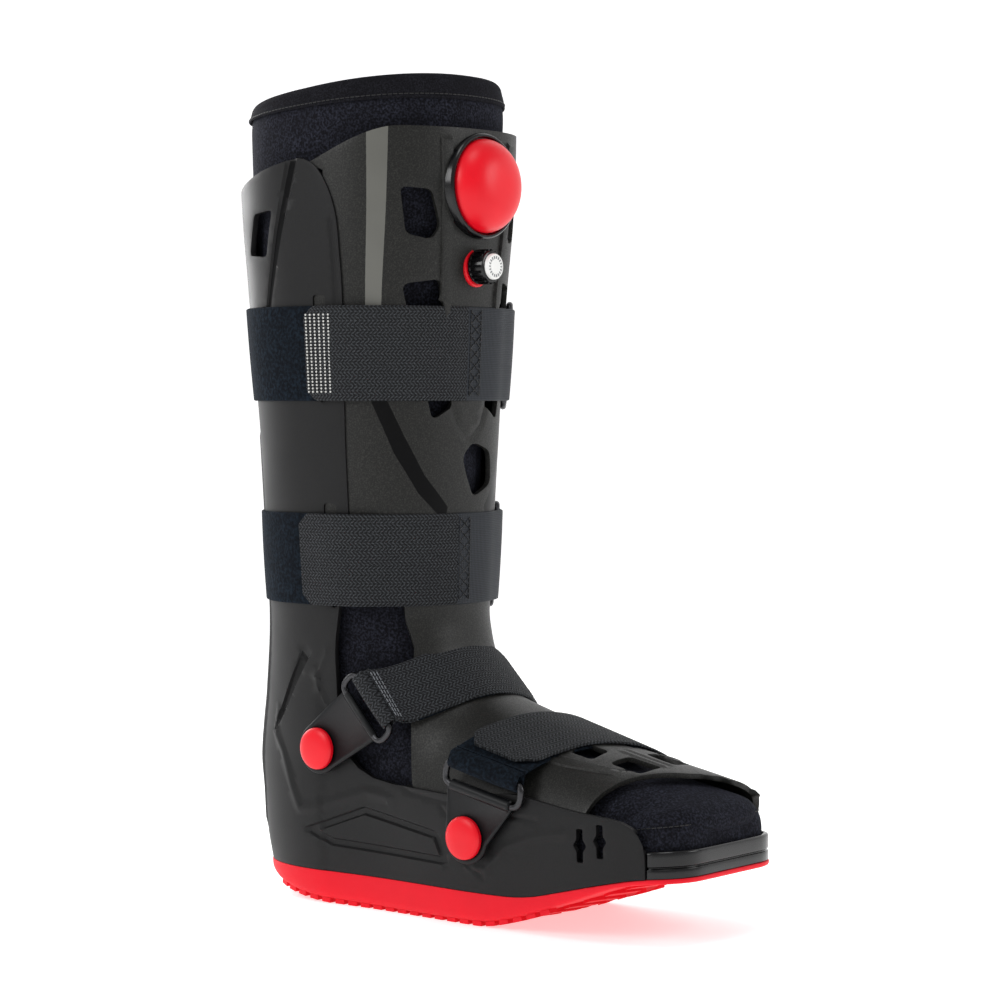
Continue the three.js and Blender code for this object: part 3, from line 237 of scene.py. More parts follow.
def leg_row(z):
    """Level row of the leg as topX, topZ, sideX, sideZ, underX, underZ, half, reach."""
    half, reach = shell_half(z) - PANEL_SEAT, panel_reach(z / LEG_HEIGHT)
    return (panel_front(z), z, LEG_CENTRE, z, shell_back(z) + PANEL_SEAT, z, half, reach)


def foot_row(row):
    """Slanted row of the foot with its shares made lengths."""
    top_x, top_z, side_x, side_z, under_x, under_z, half, reach = row
    top_x, side_x, under_x = (share * FOOT_LENGTH for share in (top_x, side_x, under_x))
    top_z, side_z, under_z = (share * LEG_HEIGHT for share in (top_z, side_z, under_z))
    if half:
        wide = half * FOOT_WIDTH
    else:
        share = smooth_step(side_z, BLEND_FROM, BLEND_TO)
        wide = tray_half(side_x, side_z) * (1 - share) + shell_half(side_z) * share - PANEL_SEAT
    return (top_x, top_z, side_x, side_z, under_x, under_z, wide, reach)


def collar_row(rise, fall, bulge):
    """Row of the liner's collar above the panel."""
    top_x, _, side_x, _, under_x, _, half, reach = leg_row(LEG_HEIGHT)
    grow = bulge * LEG_WIDTH
    top_z, under_z = LEG_HEIGHT + rise * RIM_RISE, LEG_HEIGHT + fall * RIM_RISE
    side_z = (top_z + under_z) / 2
    return (top_x + grow, top_z, side_x, side_z, under_x - grow / 2, under_z, half + grow, reach)


def row_curves(rows):
    """Smooth curves through rows, over the length along their top points."""
    places = [0.0]
    for a, b in zip(rows, rows[1:]):
        places.append(places[-1] + math.hypot(b[0] - a[0], b[1] - a[1]))
    return places, [follow(places, [row[i] for row in rows]) for i in range(8)]


PANEL_ROWS = [leg_row(share * LEG_HEIGHT) for share in LEG_LEVELS]
PANEL_ROWS += [foot_row(row) for row in FOOT_ROWS]
PANEL_PLACES, PANEL_CURVES = row_curves(PANEL_ROWS)
LINER_ROWS = [collar_row(*row) for row in reversed(COLLAR)] + PANEL_ROWS[1:]
LINER_ROWS += [foot_row(row) for row in TOE_ROWS]
LINER_PLACES, LINER_CURVES = row_curves(LINER_ROWS)
SIDE_RUN = 90.0


def row_point(curves, place, turn, depth, under_depth=0.0):
    """Point of a row at a turn from its top; a quarter turn away is its side point."""
    top_x, top_z, side_x, side_z, under_x, under_z, half, _ = [curve(place) for curve in curves]
    cosine, sine = math.cos(turn), math.sin(turn)
    front = cosine >= 0
    arm = np.array((top_x - side_x, top_z - side_z) if front else (under_x - side_x, under_z - side_z))
    length = max(math.hypot(*arm), 1e-6)
    arm = arm / length * max(length - (depth if front else under_depth), 0.5)
    spread = abs(cosine) ** (2 / SHELL_POWER)
    y = math.copysign(abs(sine) ** (2 / SHELL_POWER), sine) * (half - depth)
    return np.array((side_x + arm[0] * spread, y, side_z + arm[1] * spread))


def panel_point(across, along, depth=0.0):
    """Point of the panel's outside. Across is positive toward the far side, along runs
    from the panel's upper edge down the shin and over the foot."""
    return row_point(PANEL_CURVES, along, across / SIDE_RUN * math.pi / 2, depth)


def panel_turn(degrees, z):
    """Place on the panel at an angle from the front, positive toward the seen side."""
    long, half = panel_front(z) - LEG_CENTRE, shell_half(z) - PANEL_SEAT
    angle = math.radians(abs(degrees))
    turn = math.atan((math.tan(angle) * long / half) ** (SHELL_POWER / 2))
    return (-math.copysign(turn / (math.pi / 2) * SIDE_RUN, degrees), LEG_LEVELS[0] * LEG_HEIGHT - z)


def panel_place(first, second, view, guess):
    """Place on the panel whose front view (y, z) or plan view (x, y) is given."""
    axes = (1, 2) if view == "front" else (0, 1)
    at = np.array(guess, float)
    goal = np.array((first, second))
    for _ in range(25):
        here = panel_point(*at)[list(axes)]
        step_a = (panel_point(at[0] + 0.5, at[1])[list(axes)] - here) / 0.5
        step_b = (panel_point(at[0], at[1] + 0.5)[list(axes)] - here) / 0.5
        move = np.linalg.lstsq(np.array((step_a, step_b)).T, goal - here, rcond=None)[0]
        at += np.clip(move, -12, 12)
        at[0] = min(max(at[0], -SIDE_RUN), SIDE_RUN)
        at[1] = min(max(at[1], 0.0), PANEL_PLACES[-1])
        if np.abs(move).max() < 0.01:
            break
    return tuple(at)


# Flat outlines


def rounded(corners, cut, steps=5):
    """Closed outline through corners, each cut back and bridged by a curve. A corner may
    carry its own cut as a third value."""
    points = []
    for i, corner in enumerate(corners):
        here = np.array(corner[:2], float)
        size = corner[2] if len(corner) > 2 else cut
        ends = []
        for other in (corners[i - 1], corners[(i + 1) % len(corners)]):
            arm = np.array(other[:2], float) - here
            ends.append(here + arm * min(size / max(np.linalg.norm(arm), 1e-6), 0.48))
        if size <= 0:
            points.append(here)
            continue
        for step in range(steps + 1):
            t = step / steps
            points.append((1 - t) ** 2 * ends[0] + 2 * t * (1 - t) * here + t * t * ends[1])
    return points


def even(points, step, closed=True):
    """The same line with no span longer than a step."""
    ends = list(points[1:]) + ([points[0]] if closed else [])
    made = []
    for a, b in zip(points, ends):
        a, b = np.array(a, float), np.array(b, float)
        count = max(1, math.ceil(np.linalg.norm(b - a) / step))
        made.extend(a + (b - a) * (i / count) for i in range(count))
    return made if closed else made + [np.array(points[-1], float)]


def inside(points, loop):
    """Which of many flat points lie inside a closed outline."""
    x, y = points[:, 0], points[:, 1]
    hit = np.zeros(len(points), bool)
    for a, b in zip(loop, list(loop[1:]) + [loop[0]]):
        crosses = (a[1] > y) != (b[1] > y)
        if crosses.any():
            hit ^= crosses & (x < (b[0] - a[0]) * (y - a[1]) / ((b[1] - a[1]) or 1e-9) + a[0])
    return hit


def line_distance(points, line):
    """Distance of many flat points from an open line, and the share of the way along."""
    line = np.array(line, float)
    lengths = np.linalg.norm(np.diff(line, axis=0), axis=1)
    starts = np.concatenate(([0], np.cumsum(lengths)))
    best = np.full(len(points), 1e9)
    share = np.zeros(len(points))
    for i, length in enumerate(lengths):
        arm = line[i + 1] - line[i]
        t = np.clip((points - line[i]) @ arm / max(length * length, 1e-9), 0, 1)
        gap = np.linalg.norm(points - line[i] - t[:, None] * arm, axis=1)
        near = gap < best
        best[near] = gap[near]
        share[near] = (starts[i] + t[near] * length) / starts[-1]
    return best, share


# Meshes


def make_object(name, points, faces, materials=(), smooth=True):
    """Object at the origin from points in millimetres."""
    mesh = bpy.data.meshes.new(name)
    mesh.from_pydata([tuple((np.array(p) + ORIGIN) * MM) for p in points], [], faces)
    mesh.update()
    if smooth:
        mesh.shade_smooth()
    for look in materials:
        mesh.materials.append(look)
    made = bpy.data.objects.new(name, mesh)
    bpy.context.scene.collection.objects.link(made)
    return made


def bake(piece, sharp=40.0):
    """Applies a piece's modifiers and marks its sharp edges."""
    shown = piece.evaluated_get(bpy.context.evaluated_depsgraph_get())
    mesh = bpy.data.meshes.new_from_object(shown)
    piece.modifiers.clear()
    old = piece.data
    piece.data = mesh
    bpy.data.meshes.remove(old)
    mesh.shade_smooth()
    mesh.set_sharp_from_angle(angle=math.radians(sharp))
    return piece


def soften(piece, width, segments=3, angle=40.0):
    """Rounds the edges of a piece that are sharper than an angle."""
    edge = piece.modifiers.new("soft_edges", "BEVEL")
    edge.width = width * MM
    edge.segments = segments
    edge.limit_method = "ANGLE"
    edge.angle_limit = math.radians(angle)
    edge.use_clamp_overlap = True
    edge.miter_outer = "MITER_ARC"
    return piece


def face_out(piece, merge=0.0):
    """Merges doubles and turns the faces outward."""
    work = bmesh.new()
    work.from_mesh(piece.data)
    if merge:
        bmesh.ops.remove_doubles(work, verts=work.verts, dist=merge * MM)
    bmesh.ops.recalc_face_normals(work, faces=work.faces)
    work.to_mesh(piece.data)
    work.free()
    return piece


def finish_piece(piece, body, slot, *nodes):
    """Hangs a piece on the body it rides on and hides the CAD nodes it stands for. Its finish, slot, is not
    used.
    """
    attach(piece, body)
    if nodes:
        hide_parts(*nodes)
    return piece


def trimmed_sheet(name, surface, outline, holes, step, zones, relief, looks):
    """Thin skin on a surface, cut to an outline with holes. zones are outlines with the
    number of their material; relief are lines (points, half width at start and end,
    height, slope) that rise from the skin or sink into it."""
    loops = [even(outline, step)] + [even(hole, step * 0.6) for hole in holes]
    borders = loops + [even(zone, step * 0.7) for zone, _ in zones]
    points, edges = [], []
    for loop in borders:
        first = len(points)
        points.extend(tuple(p) for p in loop)
        edges.extend((first + i, first + (i + 1) % len(loop)) for i in range(len(loop)))
    flat = np.array(loops[0])
    low, high = flat.min(axis=0), flat.max(axis=0)
    grid = []
    row = 0
    y = low[1]
    while y < high[1]:
        x = low[0] + (step / 2 if row % 2 else 0)
        while x < high[0]:
            grid.append((x, y))
            x += step
        y += step * 0.87
        row += 1
    grid = np.array(grid)
    keep = inside(grid, loops[0])
    for loop in borders:
        closed = np.array(loop + [loop[0]])
        near = np.all((grid > closed.min(axis=0) - step) & (grid < closed.max(axis=0) + step), axis=1)
        picked = np.where(near & keep)[0]
        gap, _ = line_distance(grid[picked], closed)
        keep[picked[gap < step * 0.5]] = False
    bands = []
    for line, start, end, height, slope in relief:
        line = even(line, step * 0.5, closed=False)
        gap, share = line_distance(grid, line)
        keep &= gap > start + (end - start) * share + slope + step * 0.3
        arms = np.gradient(np.array(line), axis=0)
        normals = np.stack((-arms[:, 1], arms[:, 0]), axis=1)
        normals /= np.maximum(np.linalg.norm(normals, axis=1), 1e-9)[:, None]
        shares = np.linspace(0, 1, len(line))
        for side in (-1, 1):
            for extra in (0.0, slope):
                reach = start + (end - start) * shares + extra
                bands.append(np.array(line) + normals * (side * reach)[:, None])
        bands.append(np.array(line))
    grid = grid[keep]
    extra = np.concatenate(bands) if bands else np.zeros((0, 2))
    if len(extra):
        fine = inside(extra, loops[0])
        for loop in borders:
            gap, _ = line_distance(extra, np.array(loop + [loop[0]]))
            fine &= gap > 0.35
        extra = extra[fine]
    cloud = [Vector(p) for p in points] + [Vector(p) for p in grid] + [Vector(p) for p in extra]
    verts, _, tris, _, _, _ = delaunay_2d_cdt(cloud, edges, [], 0, 1e-4)
    places = np.array([tuple(v) for v in verts])
    tris = np.array([t for t in tris if len(t) == 3])
    middles = places[tris].mean(axis=1)
    wanted = inside(middles, loops[0])
    for loop in loops[1:]:
        wanted &= ~inside(middles, loop)
    tris, middles = tris[wanted], middles[wanted]
    solid = np.array([surface(*p) for p in places])
    nudge = 0.4
    side = np.array([surface(p[0] + nudge, p[1]) for p in places]) - solid
    down = np.array([surface(p[0], p[1] + nudge) for p in places]) - solid
    normals = np.cross(side, down)
    normals /= np.maximum(np.linalg.norm(normals, axis=1), 1e-12)[:, None]
    heart = solid.mean(axis=0)
    if np.einsum("ij,ij->i", normals, solid - heart).mean() < 0:
        normals = -normals
    for line, start, end, height, slope in relief:
        gap, share = line_distance(places, line)
        half = start + (end - start) * share
        t = np.clip((half + slope - gap) / slope, 0, 1)
        solid += normals * (height * t * t * (3 - 2 * t))[:, None]
    a, b, c = solid[tris[:, 0]], solid[tris[:, 1]], solid[tris[:, 2]]
    facing = np.einsum("ij,ij->i", np.cross(b - a, c - a), normals[tris[:, 0]])
    tris[facing < 0] = tris[facing < 0][:, ::-1]
    used, renumbered = np.unique(tris, return_inverse=True)
    tris = renumbered.reshape(tris.shape)
    piece = make_object(name, solid[used], tris.tolist(), looks)
    for zone, number in zones:
        for face in np.where(inside(middles, zone))[0]:
            piece.data.polygons[face].material_index = number
    return piece


def thicken(piece, wall, edge, segments=3):
    """Gives a skin its wall, inward from its outside, with rounded edges."""
    wall_step = piece.modifiers.new("wall", "SOLIDIFY")
    wall_step.thickness = wall * MM
    wall_step.offset = -1.0
    wall_step.use_even_offset = True
    wall_step.use_quality_normals = True
    soften(piece, edge, segments, 55.0)
    return bake(piece)


# Materials


def linear(code):
    """Linear colour of an sRGB hex value."""
    parts = [int(code[i : i + 2], 16) / 255 for i in (0, 2, 4)]
    return tuple(p / 12.92 if p <= 0.04045 else ((p + 0.055) / 1.055) ** 2.4 for p in parts)


def add_node(tree, kind, settings=None, **inputs):
    """Adds a node with its settings, and its inputs as numbers or links. An input's name
    is written with underscores, or as i and its number."""
    made = tree.nodes.new(kind)
    for name, value in (settings or {}).items():
        setattr(made, name, value)
    for name, value in inputs.items():
        key = int(name[1:]) if name[0] == "i" and name[1:].isdigit() else name.replace("_", " ")
        socket = made.inputs[key]
        if isinstance(value, bpy.types.NodeSocket):
            tree.links.new(value, socket)
        else:
            socket.default_value = value
    return made


def new_look(name, colour, roughness, **fixed):
    """Material with a Principled shader and its constants: returns it, its nodes and shader."""
    look = bpy.data.materials.new(name)
    look.use_nodes = True
    tree = look.node_tree
    shader = tree.nodes["Principled BSDF"]
    look.diffuse_color = (*colour, 1)
    shader.inputs["Base Color"].default_value = (*colour, 1)
    shader.inputs["Roughness"].default_value = roughness
    for key, value in fixed.items():
        shader.inputs[key.replace("_", " ")].default_value = value
    return look, tree, shader


def tint(tree, shader, pattern, first, second, low=0.0, high=1.0):
    """Colours a finish, from the first colour where its pattern is low to the second
    where it is high."""
    share = add_node(tree, "ShaderNodeMapRange", None, i0=pattern, i1=low, i2=high).outputs[0]
    mixed = add_node(tree, "ShaderNodeMix", {"data_type": "RGBA"}, i0=share, i6=(*first, 1), i7=(*second, 1))
    tree.links.new(mixed.outputs[2], shader.inputs["Base Color"])


def vary_gloss(tree, shader, pattern, start, end):
    """Lets the roughness of a finish follow its grain from start to end."""
    rough = add_node(tree, "ShaderNodeMapRange", None, i0=pattern, i1=0.3, i2=0.7, i3=start, i4=end)
    tree.links.new(rough.outputs[0], shader.inputs["Roughness"])


def grain(tree, size, detail=2.0):
    """Noise with cells of a size in millimetres, in object space."""
    where = add_node(tree, "ShaderNodeTexCoord").outputs["Object"]
    noise = add_node(tree, "ShaderNodeTexNoise", None, Vector=where, Scale=1 / (size * MM), Detail=detail)
    return noise.outputs[0]


def raise_surface(tree, shader, height, strength, depth):
    """Bump from a height, depth in millimetres."""
    bump = add_node(tree, "ShaderNodeBump", None, Strength=strength, Distance=depth * MM, Height=height)
    tree.links.new(bump.outputs[0], shader.inputs["Normal"])


def tone(colour, factor):
    """The same colour, lighter or darker."""
    return tuple(min(part * factor, 1.0) for part in colour)


def moulded_nylon(name, colour, roughness, grain_size, lift):
    """Injection-moulded glass-filled nylon: matt, spark-eroded texture, soft sheen."""
    look, tree, shader = new_look(name, colour, roughness, IOR=1.5, Specular_IOR_Level=0.24)
    # Grain of about half a millimetre, drawn nearly twice as coarse so that it shows.
    fine = grain(tree, grain_size, 3.0)
    wide = grain(tree, 40.0)
    shade = add_node(tree, "ShaderNodeMath", {"operation": "MULTIPLY"}, i0=fine, i1=wide)
    tint(tree, shader, shade.outputs[0], tone(colour, 0.8), tone(colour, lift), 0.1, 0.45)
    vary_gloss(tree, shader, wide, roughness - 0.05, roughness + 0.07)
    raise_surface(tree, shader, fine, 0.25, 0.12)
    return look


def speckled_nylon(name, colour, spark, roughness):
    """Moulded nylon with a satin, finely sparkling skin that shows grains in soft light."""
    look, tree, shader = new_look(name, colour, roughness, IOR=1.5, Specular_IOR_Level=0.28)
    fine = grain(tree, 0.7, 4.0)
    tint(tree, shader, fine, colour, spark, 0.45, 0.72)
    vary_gloss(tree, shader, fine, roughness + 0.08, roughness - 0.08)
    raise_surface(tree, shader, fine, 0.3, 0.1)
    return look


def polished_facet(name, colour, roughness, shine=0.4):
    """Polished strip of the mould: smoother than the grained skin beside it."""
    look, tree, shader = new_look(name, colour, roughness, IOR=1.5, Specular_IOR_Level=shine)
    tint(tree, shader, grain(tree, 30.0), tone(colour, 0.85), tone(colour, 1.12))
    raise_surface(tree, shader, grain(tree, 2.5, 1.0), 0.05, 0.1)
    return look


def brushed_pile(name, colour, fleck, pile, sheen, lift=0.5):
    """Brushed polyester pile: short loops with flecks, soft at the silhouette."""
    fixed = {"IOR": 1.45, "Specular_IOR_Level": 0.1, "Sheen_Weight": sheen, "Sheen_Roughness": 0.5}
    look, tree, shader = new_look(name, colour, 0.95, **fixed)
    shader.inputs["Sheen Tint"].default_value = (*tone(fleck, 2.0), 1)
    loops = grain(tree, pile, 4.0)
    patch = grain(tree, 14.0, 3.0)
    spots = add_node(tree, "ShaderNodeMapRange", None, i0=loops, i1=0.42, i2=0.7).outputs[0]
    worn = add_node(tree, "ShaderNodeMapRange", None, i0=patch, i1=0.3, i2=0.75, i3=0.45).outputs[0]
    share = add_node(tree, "ShaderNodeMath", {"operation": "MULTIPLY"}, i0=spots, i1=worn)
    tint(tree, shader, share.outputs[0], colour, fleck)
    both = add_node(tree, "ShaderNodeMath", {"operation": "ADD"}, i0=loops, i1=patch)
    raise_surface(tree, shader, both.outputs[0], lift, 0.6)
    return look


def strap_places(tree):
    """Length along and place across a strap, in millimetres, from its map."""
    uv = add_node(tree, "ShaderNodeUVMap", {"uv_map": "strap"}).outputs[0]
    split = add_node(tree, "ShaderNodeSeparateXYZ", None, i0=uv)
    places = []
    for part in (split.outputs[0], split.outputs[1]):
        scaled = add_node(tree, "ShaderNodeMath", {"operation": "MULTIPLY"}, i0=part, i1=1 / MM)
        places.append(scaled.outputs[0])
    return places


def waves(tree, place, pitch):
    """Height of even waves over a place, one in every pitch."""
    turn = add_node(tree, "ShaderNodeMath", {"operation": "MULTIPLY"}, i0=place, i1=2 * math.pi / pitch)
    return add_node(tree, "ShaderNodeMath", {"operation": "SINE"}, i0=turn.outputs[0]).outputs[0]


def herringbone(name, colour, thread_tone, pitch, band):
    """Woven hook tape: polyamide ground in a fine herringbone, matt with glinting threads."""
    look, tree, shader = new_look(name, colour, 0.7, IOR=1.53, Specular_IOR_Level=0.2)
    along, across = strap_places(tree)
    zig = add_node(tree, "ShaderNodeMath", {"operation": "PINGPONG"}, i0=across, i1=band)
    slant = add_node(tree, "ShaderNodeMath", {"operation": "ADD"}, i0=along, i1=zig.outputs[0])
    wave, knot = waves(tree, slant.outputs[0], pitch), waves(tree, across, pitch * 0.75)
    knotted = add_node(tree, "ShaderNodeMath", {"operation": "MULTIPLY"}, i0=knot, i1=0.6)
    weave = add_node(tree, "ShaderNodeMath", {"operation": "ADD"}, i0=wave, i1=knotted.outputs[0])
    fuzz = grain(tree, 0.5, 3.0)
    loose = add_node(tree, "ShaderNodeMapRange", None, i0=fuzz, i1=0.3, i2=0.7, i3=-0.8, i4=0.8)
    height = add_node(tree, "ShaderNodeMath", {"operation": "ADD"}, i0=weave.outputs[0], i1=loose.outputs[0])
    tint(tree, shader, height.outputs[0], colour, thread_tone, -0.4, 1.5)
    raise_surface(tree, shader, height.outputs[0], 0.9, 0.3)
    return look


def ribbed_webbing(name, colour, thread_tone, pitch):
    """Flat woven webbing: fine ribs across the strap, smooth to the eye."""
    look, tree, shader = new_look(name, colour, 0.6, IOR=1.53, Specular_IOR_Level=0.2, Sheen_Weight=0.1)
    shader.inputs["Sheen Tint"].default_value = (*thread_tone, 1)
    along, across = strap_places(tree)
    rib, pick = waves(tree, across, pitch), waves(tree, along, pitch * 1.4)
    height = add_node(tree, "ShaderNodeMath", {"operation": "ADD"}, i0=rib, i1=pick)
    tint(tree, shader, height.outputs[0], colour, thread_tone, -1.5, 2.0)
    raise_surface(tree, shader, height.outputs[0], 0.35, 0.1)
    return look


def moulded_rubber(name, colour, roughness, coat=0.0, grain_size=1.2):
    """Moulded elastomer: even colour with a fine matt skin."""
    fixed = {"IOR": 1.5, "Specular_IOR_Level": 0.25, "Coat_Weight": coat, "Coat_Roughness": 0.35}
    look, tree, shader = new_look(name, colour, roughness, **fixed)
    tint(tree, shader, grain(tree, 18.0), tone(colour, 0.9), tone(colour, 1.06))
    fine = grain(tree, grain_size)
    vary_gloss(tree, shader, fine, roughness - 0.04, roughness + 0.06)
    raise_surface(tree, shader, fine, 0.12, 0.08)
    return look


def plated_wire(name, colour):
    """Black-nickel plated steel wire: smooth metal with faint drawing marks."""
    look, tree, shader = new_look(name, colour, 0.3, Metallic=1.0)
    marks = grain(tree, 1.5, 3.0)
    vary_gloss(tree, shader, marks, 0.24, 0.42)
    tint(tree, shader, marks, tone(colour, 0.85), tone(colour, 1.15))
    raise_surface(tree, shader, marks, 0.08, 0.05)
    return look


def sewing_thread(name, colour):
    """Bonded nylon thread: dull strand with a slight glint."""
    look, tree, shader = new_look(name, colour, 0.6, IOR=1.53)
    ply = grain(tree, 0.4, 1.0)
    tint(tree, shader, ply, tone(colour, 0.7), tone(colour, 1.3))
    raise_surface(tree, shader, ply, 0.3, 0.1)
    return look


LOOKS = {}


def colour_setting(name, description, code):
    """Setting for the colour of a finish, from an sRGB hex value."""
    return FloatVectorProperty(
        name=name, description=description, subtype="COLOR", size=3, min=0, max=1, default=linear(code)
    )


def size_setting(name, description, default, low, high):
    """Setting for a size in millimetres."""
    return FloatProperty(name=name, description=description, default=default, min=low, max=high)


class BootColours(bpy.types.PropertyGroup):
    """Colours of the boot's finishes."""

    shell: colour_setting("Shell", "Matt nylon of shell and tray", "0f0f10")
    panel: colour_setting("Panel", "Satin nylon of the front panel", "131312")
    # Painted highlight: grey for the black panel's bevel strips where they reflect the light.
    facet: colour_setting("Facet", "Polished strips of the panel", "62625d")
    lining: colour_setting("Lining", "Pile of the liner", "101014")
    velour: colour_setting("Velour", "Loop pile of the straps", "0a0d12")
    tape: colour_setting("Tape", "Woven hook tape of the straps", "141517")
    webbing: colour_setting("Webbing", "Flat webbing at the leg rings", "141619")
    sole: colour_setting("Sole", "Rubber of the sole", "e40420")
    button: colour_setting("Button", "Pump bulb and rivet caps", "e6041c")
    gloss: colour_setting("Gloss", "Polished black of ledge, tabs and knob", "08080a")
    wire: colour_setting("Wire", "Plated wire of the rings", "424244")
    cap: colour_setting("Cap", "Face of the valve knob", "f0f0ee")


class BootSizes(bpy.types.PropertyGroup):
    """Sizes of the boot's details, all in millimetres."""

    mesh_step: size_setting("Mesh step", "Length of the triangles of shell and panel", 3.0, 1.5, 8)
    edge_round: size_setting("Edge round", "Rounding of the moulded edges", 0.8, 0.1, 1.2)
    stitch_length: size_setting("Stitch length", "Length of one stitch", 2.0, 1, 5)
    stitch_gap: size_setting("Stitch pitch", "Distance from stitch to stitch", 2.7, 1.2, 8)
    lug_pitch: size_setting("Lug pitch", "Distance between the lugs of the sole", 8.0, 4, 20)
    pile_depth: size_setting("Liner swell", "How far the padding may swell", 1.5, 0, 3)


def both_sides(points):
    """A flat line and its mirror image across the middle."""
    return [points, [(-x, y) for x, y in points]]


def side_line(points, side):
    """Line on the shell's flat plan from points of the side view."""
    return [shell_plan(x, z, side) for x, z in even(points, 3.0, closed=False)]


# Where the tray ends and the ledge goes on.
TRAY_END = 267
# Outline of the shell in the side view from the toe up and back: x, z, corner cut.
SHELL_EDGE = (
    (TRAY_END, 29.6, 0),
    (TRAY_END, 60.4, 23),
    (227, 64, 8),
    (193, 69.4, 8),
    (153, 65.1, 8),
    (77.2, 68.6, 39),
    (77.2, 132.6, 8),
    (88.9, 195, 8),
    (89.2, 234, 8),
    (92, 312, 8),
    (90.3, 354.9, 16),
    (76.1, 378.3, 14),
    (42.6, 371.7, 8),
    (10.2, 361.9, 8),
    (-6, 358.8, 0),
)
# Windows of the wing and slots of the leg straps in the side view, with their corner cut.
SHELL_HOLES = (
    (((33, 350), (49, 351.5), (43, 328), (26, 329.5)), 2.5),
    (((20, 300), (42, 304), (36, 262), (16, 262)), 3.0),
    (
        (
            (75, 308.6), (82.4, 308.6), (82.4, 302), (80.1, 299),
            (80.1, 255.4), (76.1, 255.4), (76.1, 299), (75, 302),
        ),
        2.2,
    ),
    (
        (
            (75, 205.2), (82.4, 205.2), (82.4, 199), (80.1, 196),
            (80.1, 152.9), (76.1, 152.9), (76.1, 196), (75, 199),
        ),
        2.2,
    ),
)
KEYHOLE = (
    (-1.8, -8), (-1.8, -3), (-3.8, 0), (-1.8, 3), (-1.8, 8),
    (1.8, 8), (1.8, 3), (3.8, 0), (1.8, -3), (1.8, -8),
)
KEYHOLE_PLACES = ((232, 48.2), (243.2, 51))
PLAQUE_LINE = ((58.5, 39.4), (94, 51.9), (142.3, 44.5), (148.2, 32.4), (72.7, 34.3))


# Polished grounds of the wing's groove and of the slot above the ankle, coloured near black as painted shade
# in the sunken grooves.
SHADED_GROOVES = (
    ((62, 375), (51, 340), (42.5, 307), (35.4, 262), (36.6, 262), (45.5, 307), (55, 340), (66, 375)),
    ((54.5, 130), (44.6, 114), (36, 99.5), (30, 88.5), (31, 87.5), (40, 98), (49.4, 112), (58.5, 126)),
)


# Grooves and ribs of the shell in the side view: their points, half width at start and
# end, height and slope.
SHELL_LINES = (
    # groove of the wing, slot above the ankle, frame of the plaque
    (((64, 375), (53, 340), (44, 307), (36, 262)), 1.9, 0.7, -1.2, 0.8),
    (((56.5, 128), (47, 113), (38, 99), (30.5, 88)), 2.4, 0.6, -1.2, 0.8),
    (PLAQUE_LINE + PLAQUE_LINE[:1], 1.3, 1.3, -1.2, 0.9),
    # rib round the rivet
    (
        ((34, 98), (31, 86), (37.7, 77.6), (45, 60), (50.8, 49), (60, 50.5), (96, 61.5), (110, 60)),
        0.9, 0.9, 0.7, 1.6,
    ),
    # rib beside the tray's edge, creases under the second tab
    (((163, 31), (175, 31), (187, 42.9), (205, 50), (222, 53)), 0.6, 0.4, 0.6, 1.4),
    (((147, 58), (153, 53), (157, 43), (161, 33), (171, 28)), 0.5, 0.5, -0.5, 1.0),
    (((103, 88), (110, 70.5), (126, 64), (163, 60), (206, 57.5)), 0.4, 0.4, -0.5, 0.9),
    # ribs in front of the slot
    (((64.5, 117.5), (66, 111), (69.2, 104.3)), 0.5, 0.3, 0.6, 1.2),
    (((72, 130), (64.5, 117.5)), 0.5, 0.5, 0.6, 1.2),
)
# Long ribs that come together at the heel: how far in and how high each one starts.
HEEL_RIBS = ((0.0, 40), (7.0, 46), (15.0, 62))


def make_shell(sizes):
    """Shell of tray and leg as one moulded skin with its grooves, ribs and openings."""
    rim = rounded(SHELL_EDGE, 0)
    rim[0] = np.array((TRAY_END, sole_line(TRAY_END) + CLEAR))
    right = [shell_plan(x, z, 1) for x, z in even(rim, 3.0, closed=False)]
    left = [(-a, b) for a, b in reversed(right[:-1])]
    bottom = []
    spans = 120
    for step in range(1, spans):
        across = -right[0][0] * (1 - 2 * step / spans)
        x = LEG_CENTRE + abs(across) - HEEL_RUN if abs(across) > HEEL_RUN else LEG_CENTRE
        bottom.append((across, sole_line(x) + CLEAR))
    outline = right + left + bottom
    holes, relief, zones = [], [], []
    for side in (-1, 1):
        for corners, cut in SHELL_HOLES:
            holes.append([shell_plan(x, z, side) for x, z in rounded(corners, cut)])
        for x, z in KEYHOLE_PLACES:
            holes.append([shell_plan(x + a, z + b, side) for a, b in rounded(KEYHOLE, 0.9, 3)])
        for points, *form in SHELL_LINES:
            relief.append((side_line(points, side), *form))
        # The groove grounds are polished and take the near-black painted shade.
        for corners in SHADED_GROOVES:
            zones.append(([shell_plan(x, z, side) for x, z in even(corners, 4.0)], 1))
        border = [(x - 3.4, z) for x, z in rim if 170 < z < 366 and x > 90]
        relief.append(([shell_plan(x, z, side) for x, z in border], 0.4, 0.4, -0.5, 0.8))
        for shift, low in HEEL_RIBS:
            spine = [(side * (40 - shift + 6 * math.sin((z - 40) / 60)), z) for z in range(low, 240, 6)]
            relief.append((spine, 0.5, 0.2, 0.7, 1.4))
    looks = [LOOKS["shell"], LOOKS["black_facet"]]
    piece = trimmed_sheet("shell_skin", shell_point, outline, holes, sizes.mesh_step, zones, relief, looks)
    return thicken(piece, SHELL_WALL, sizes.edge_round)


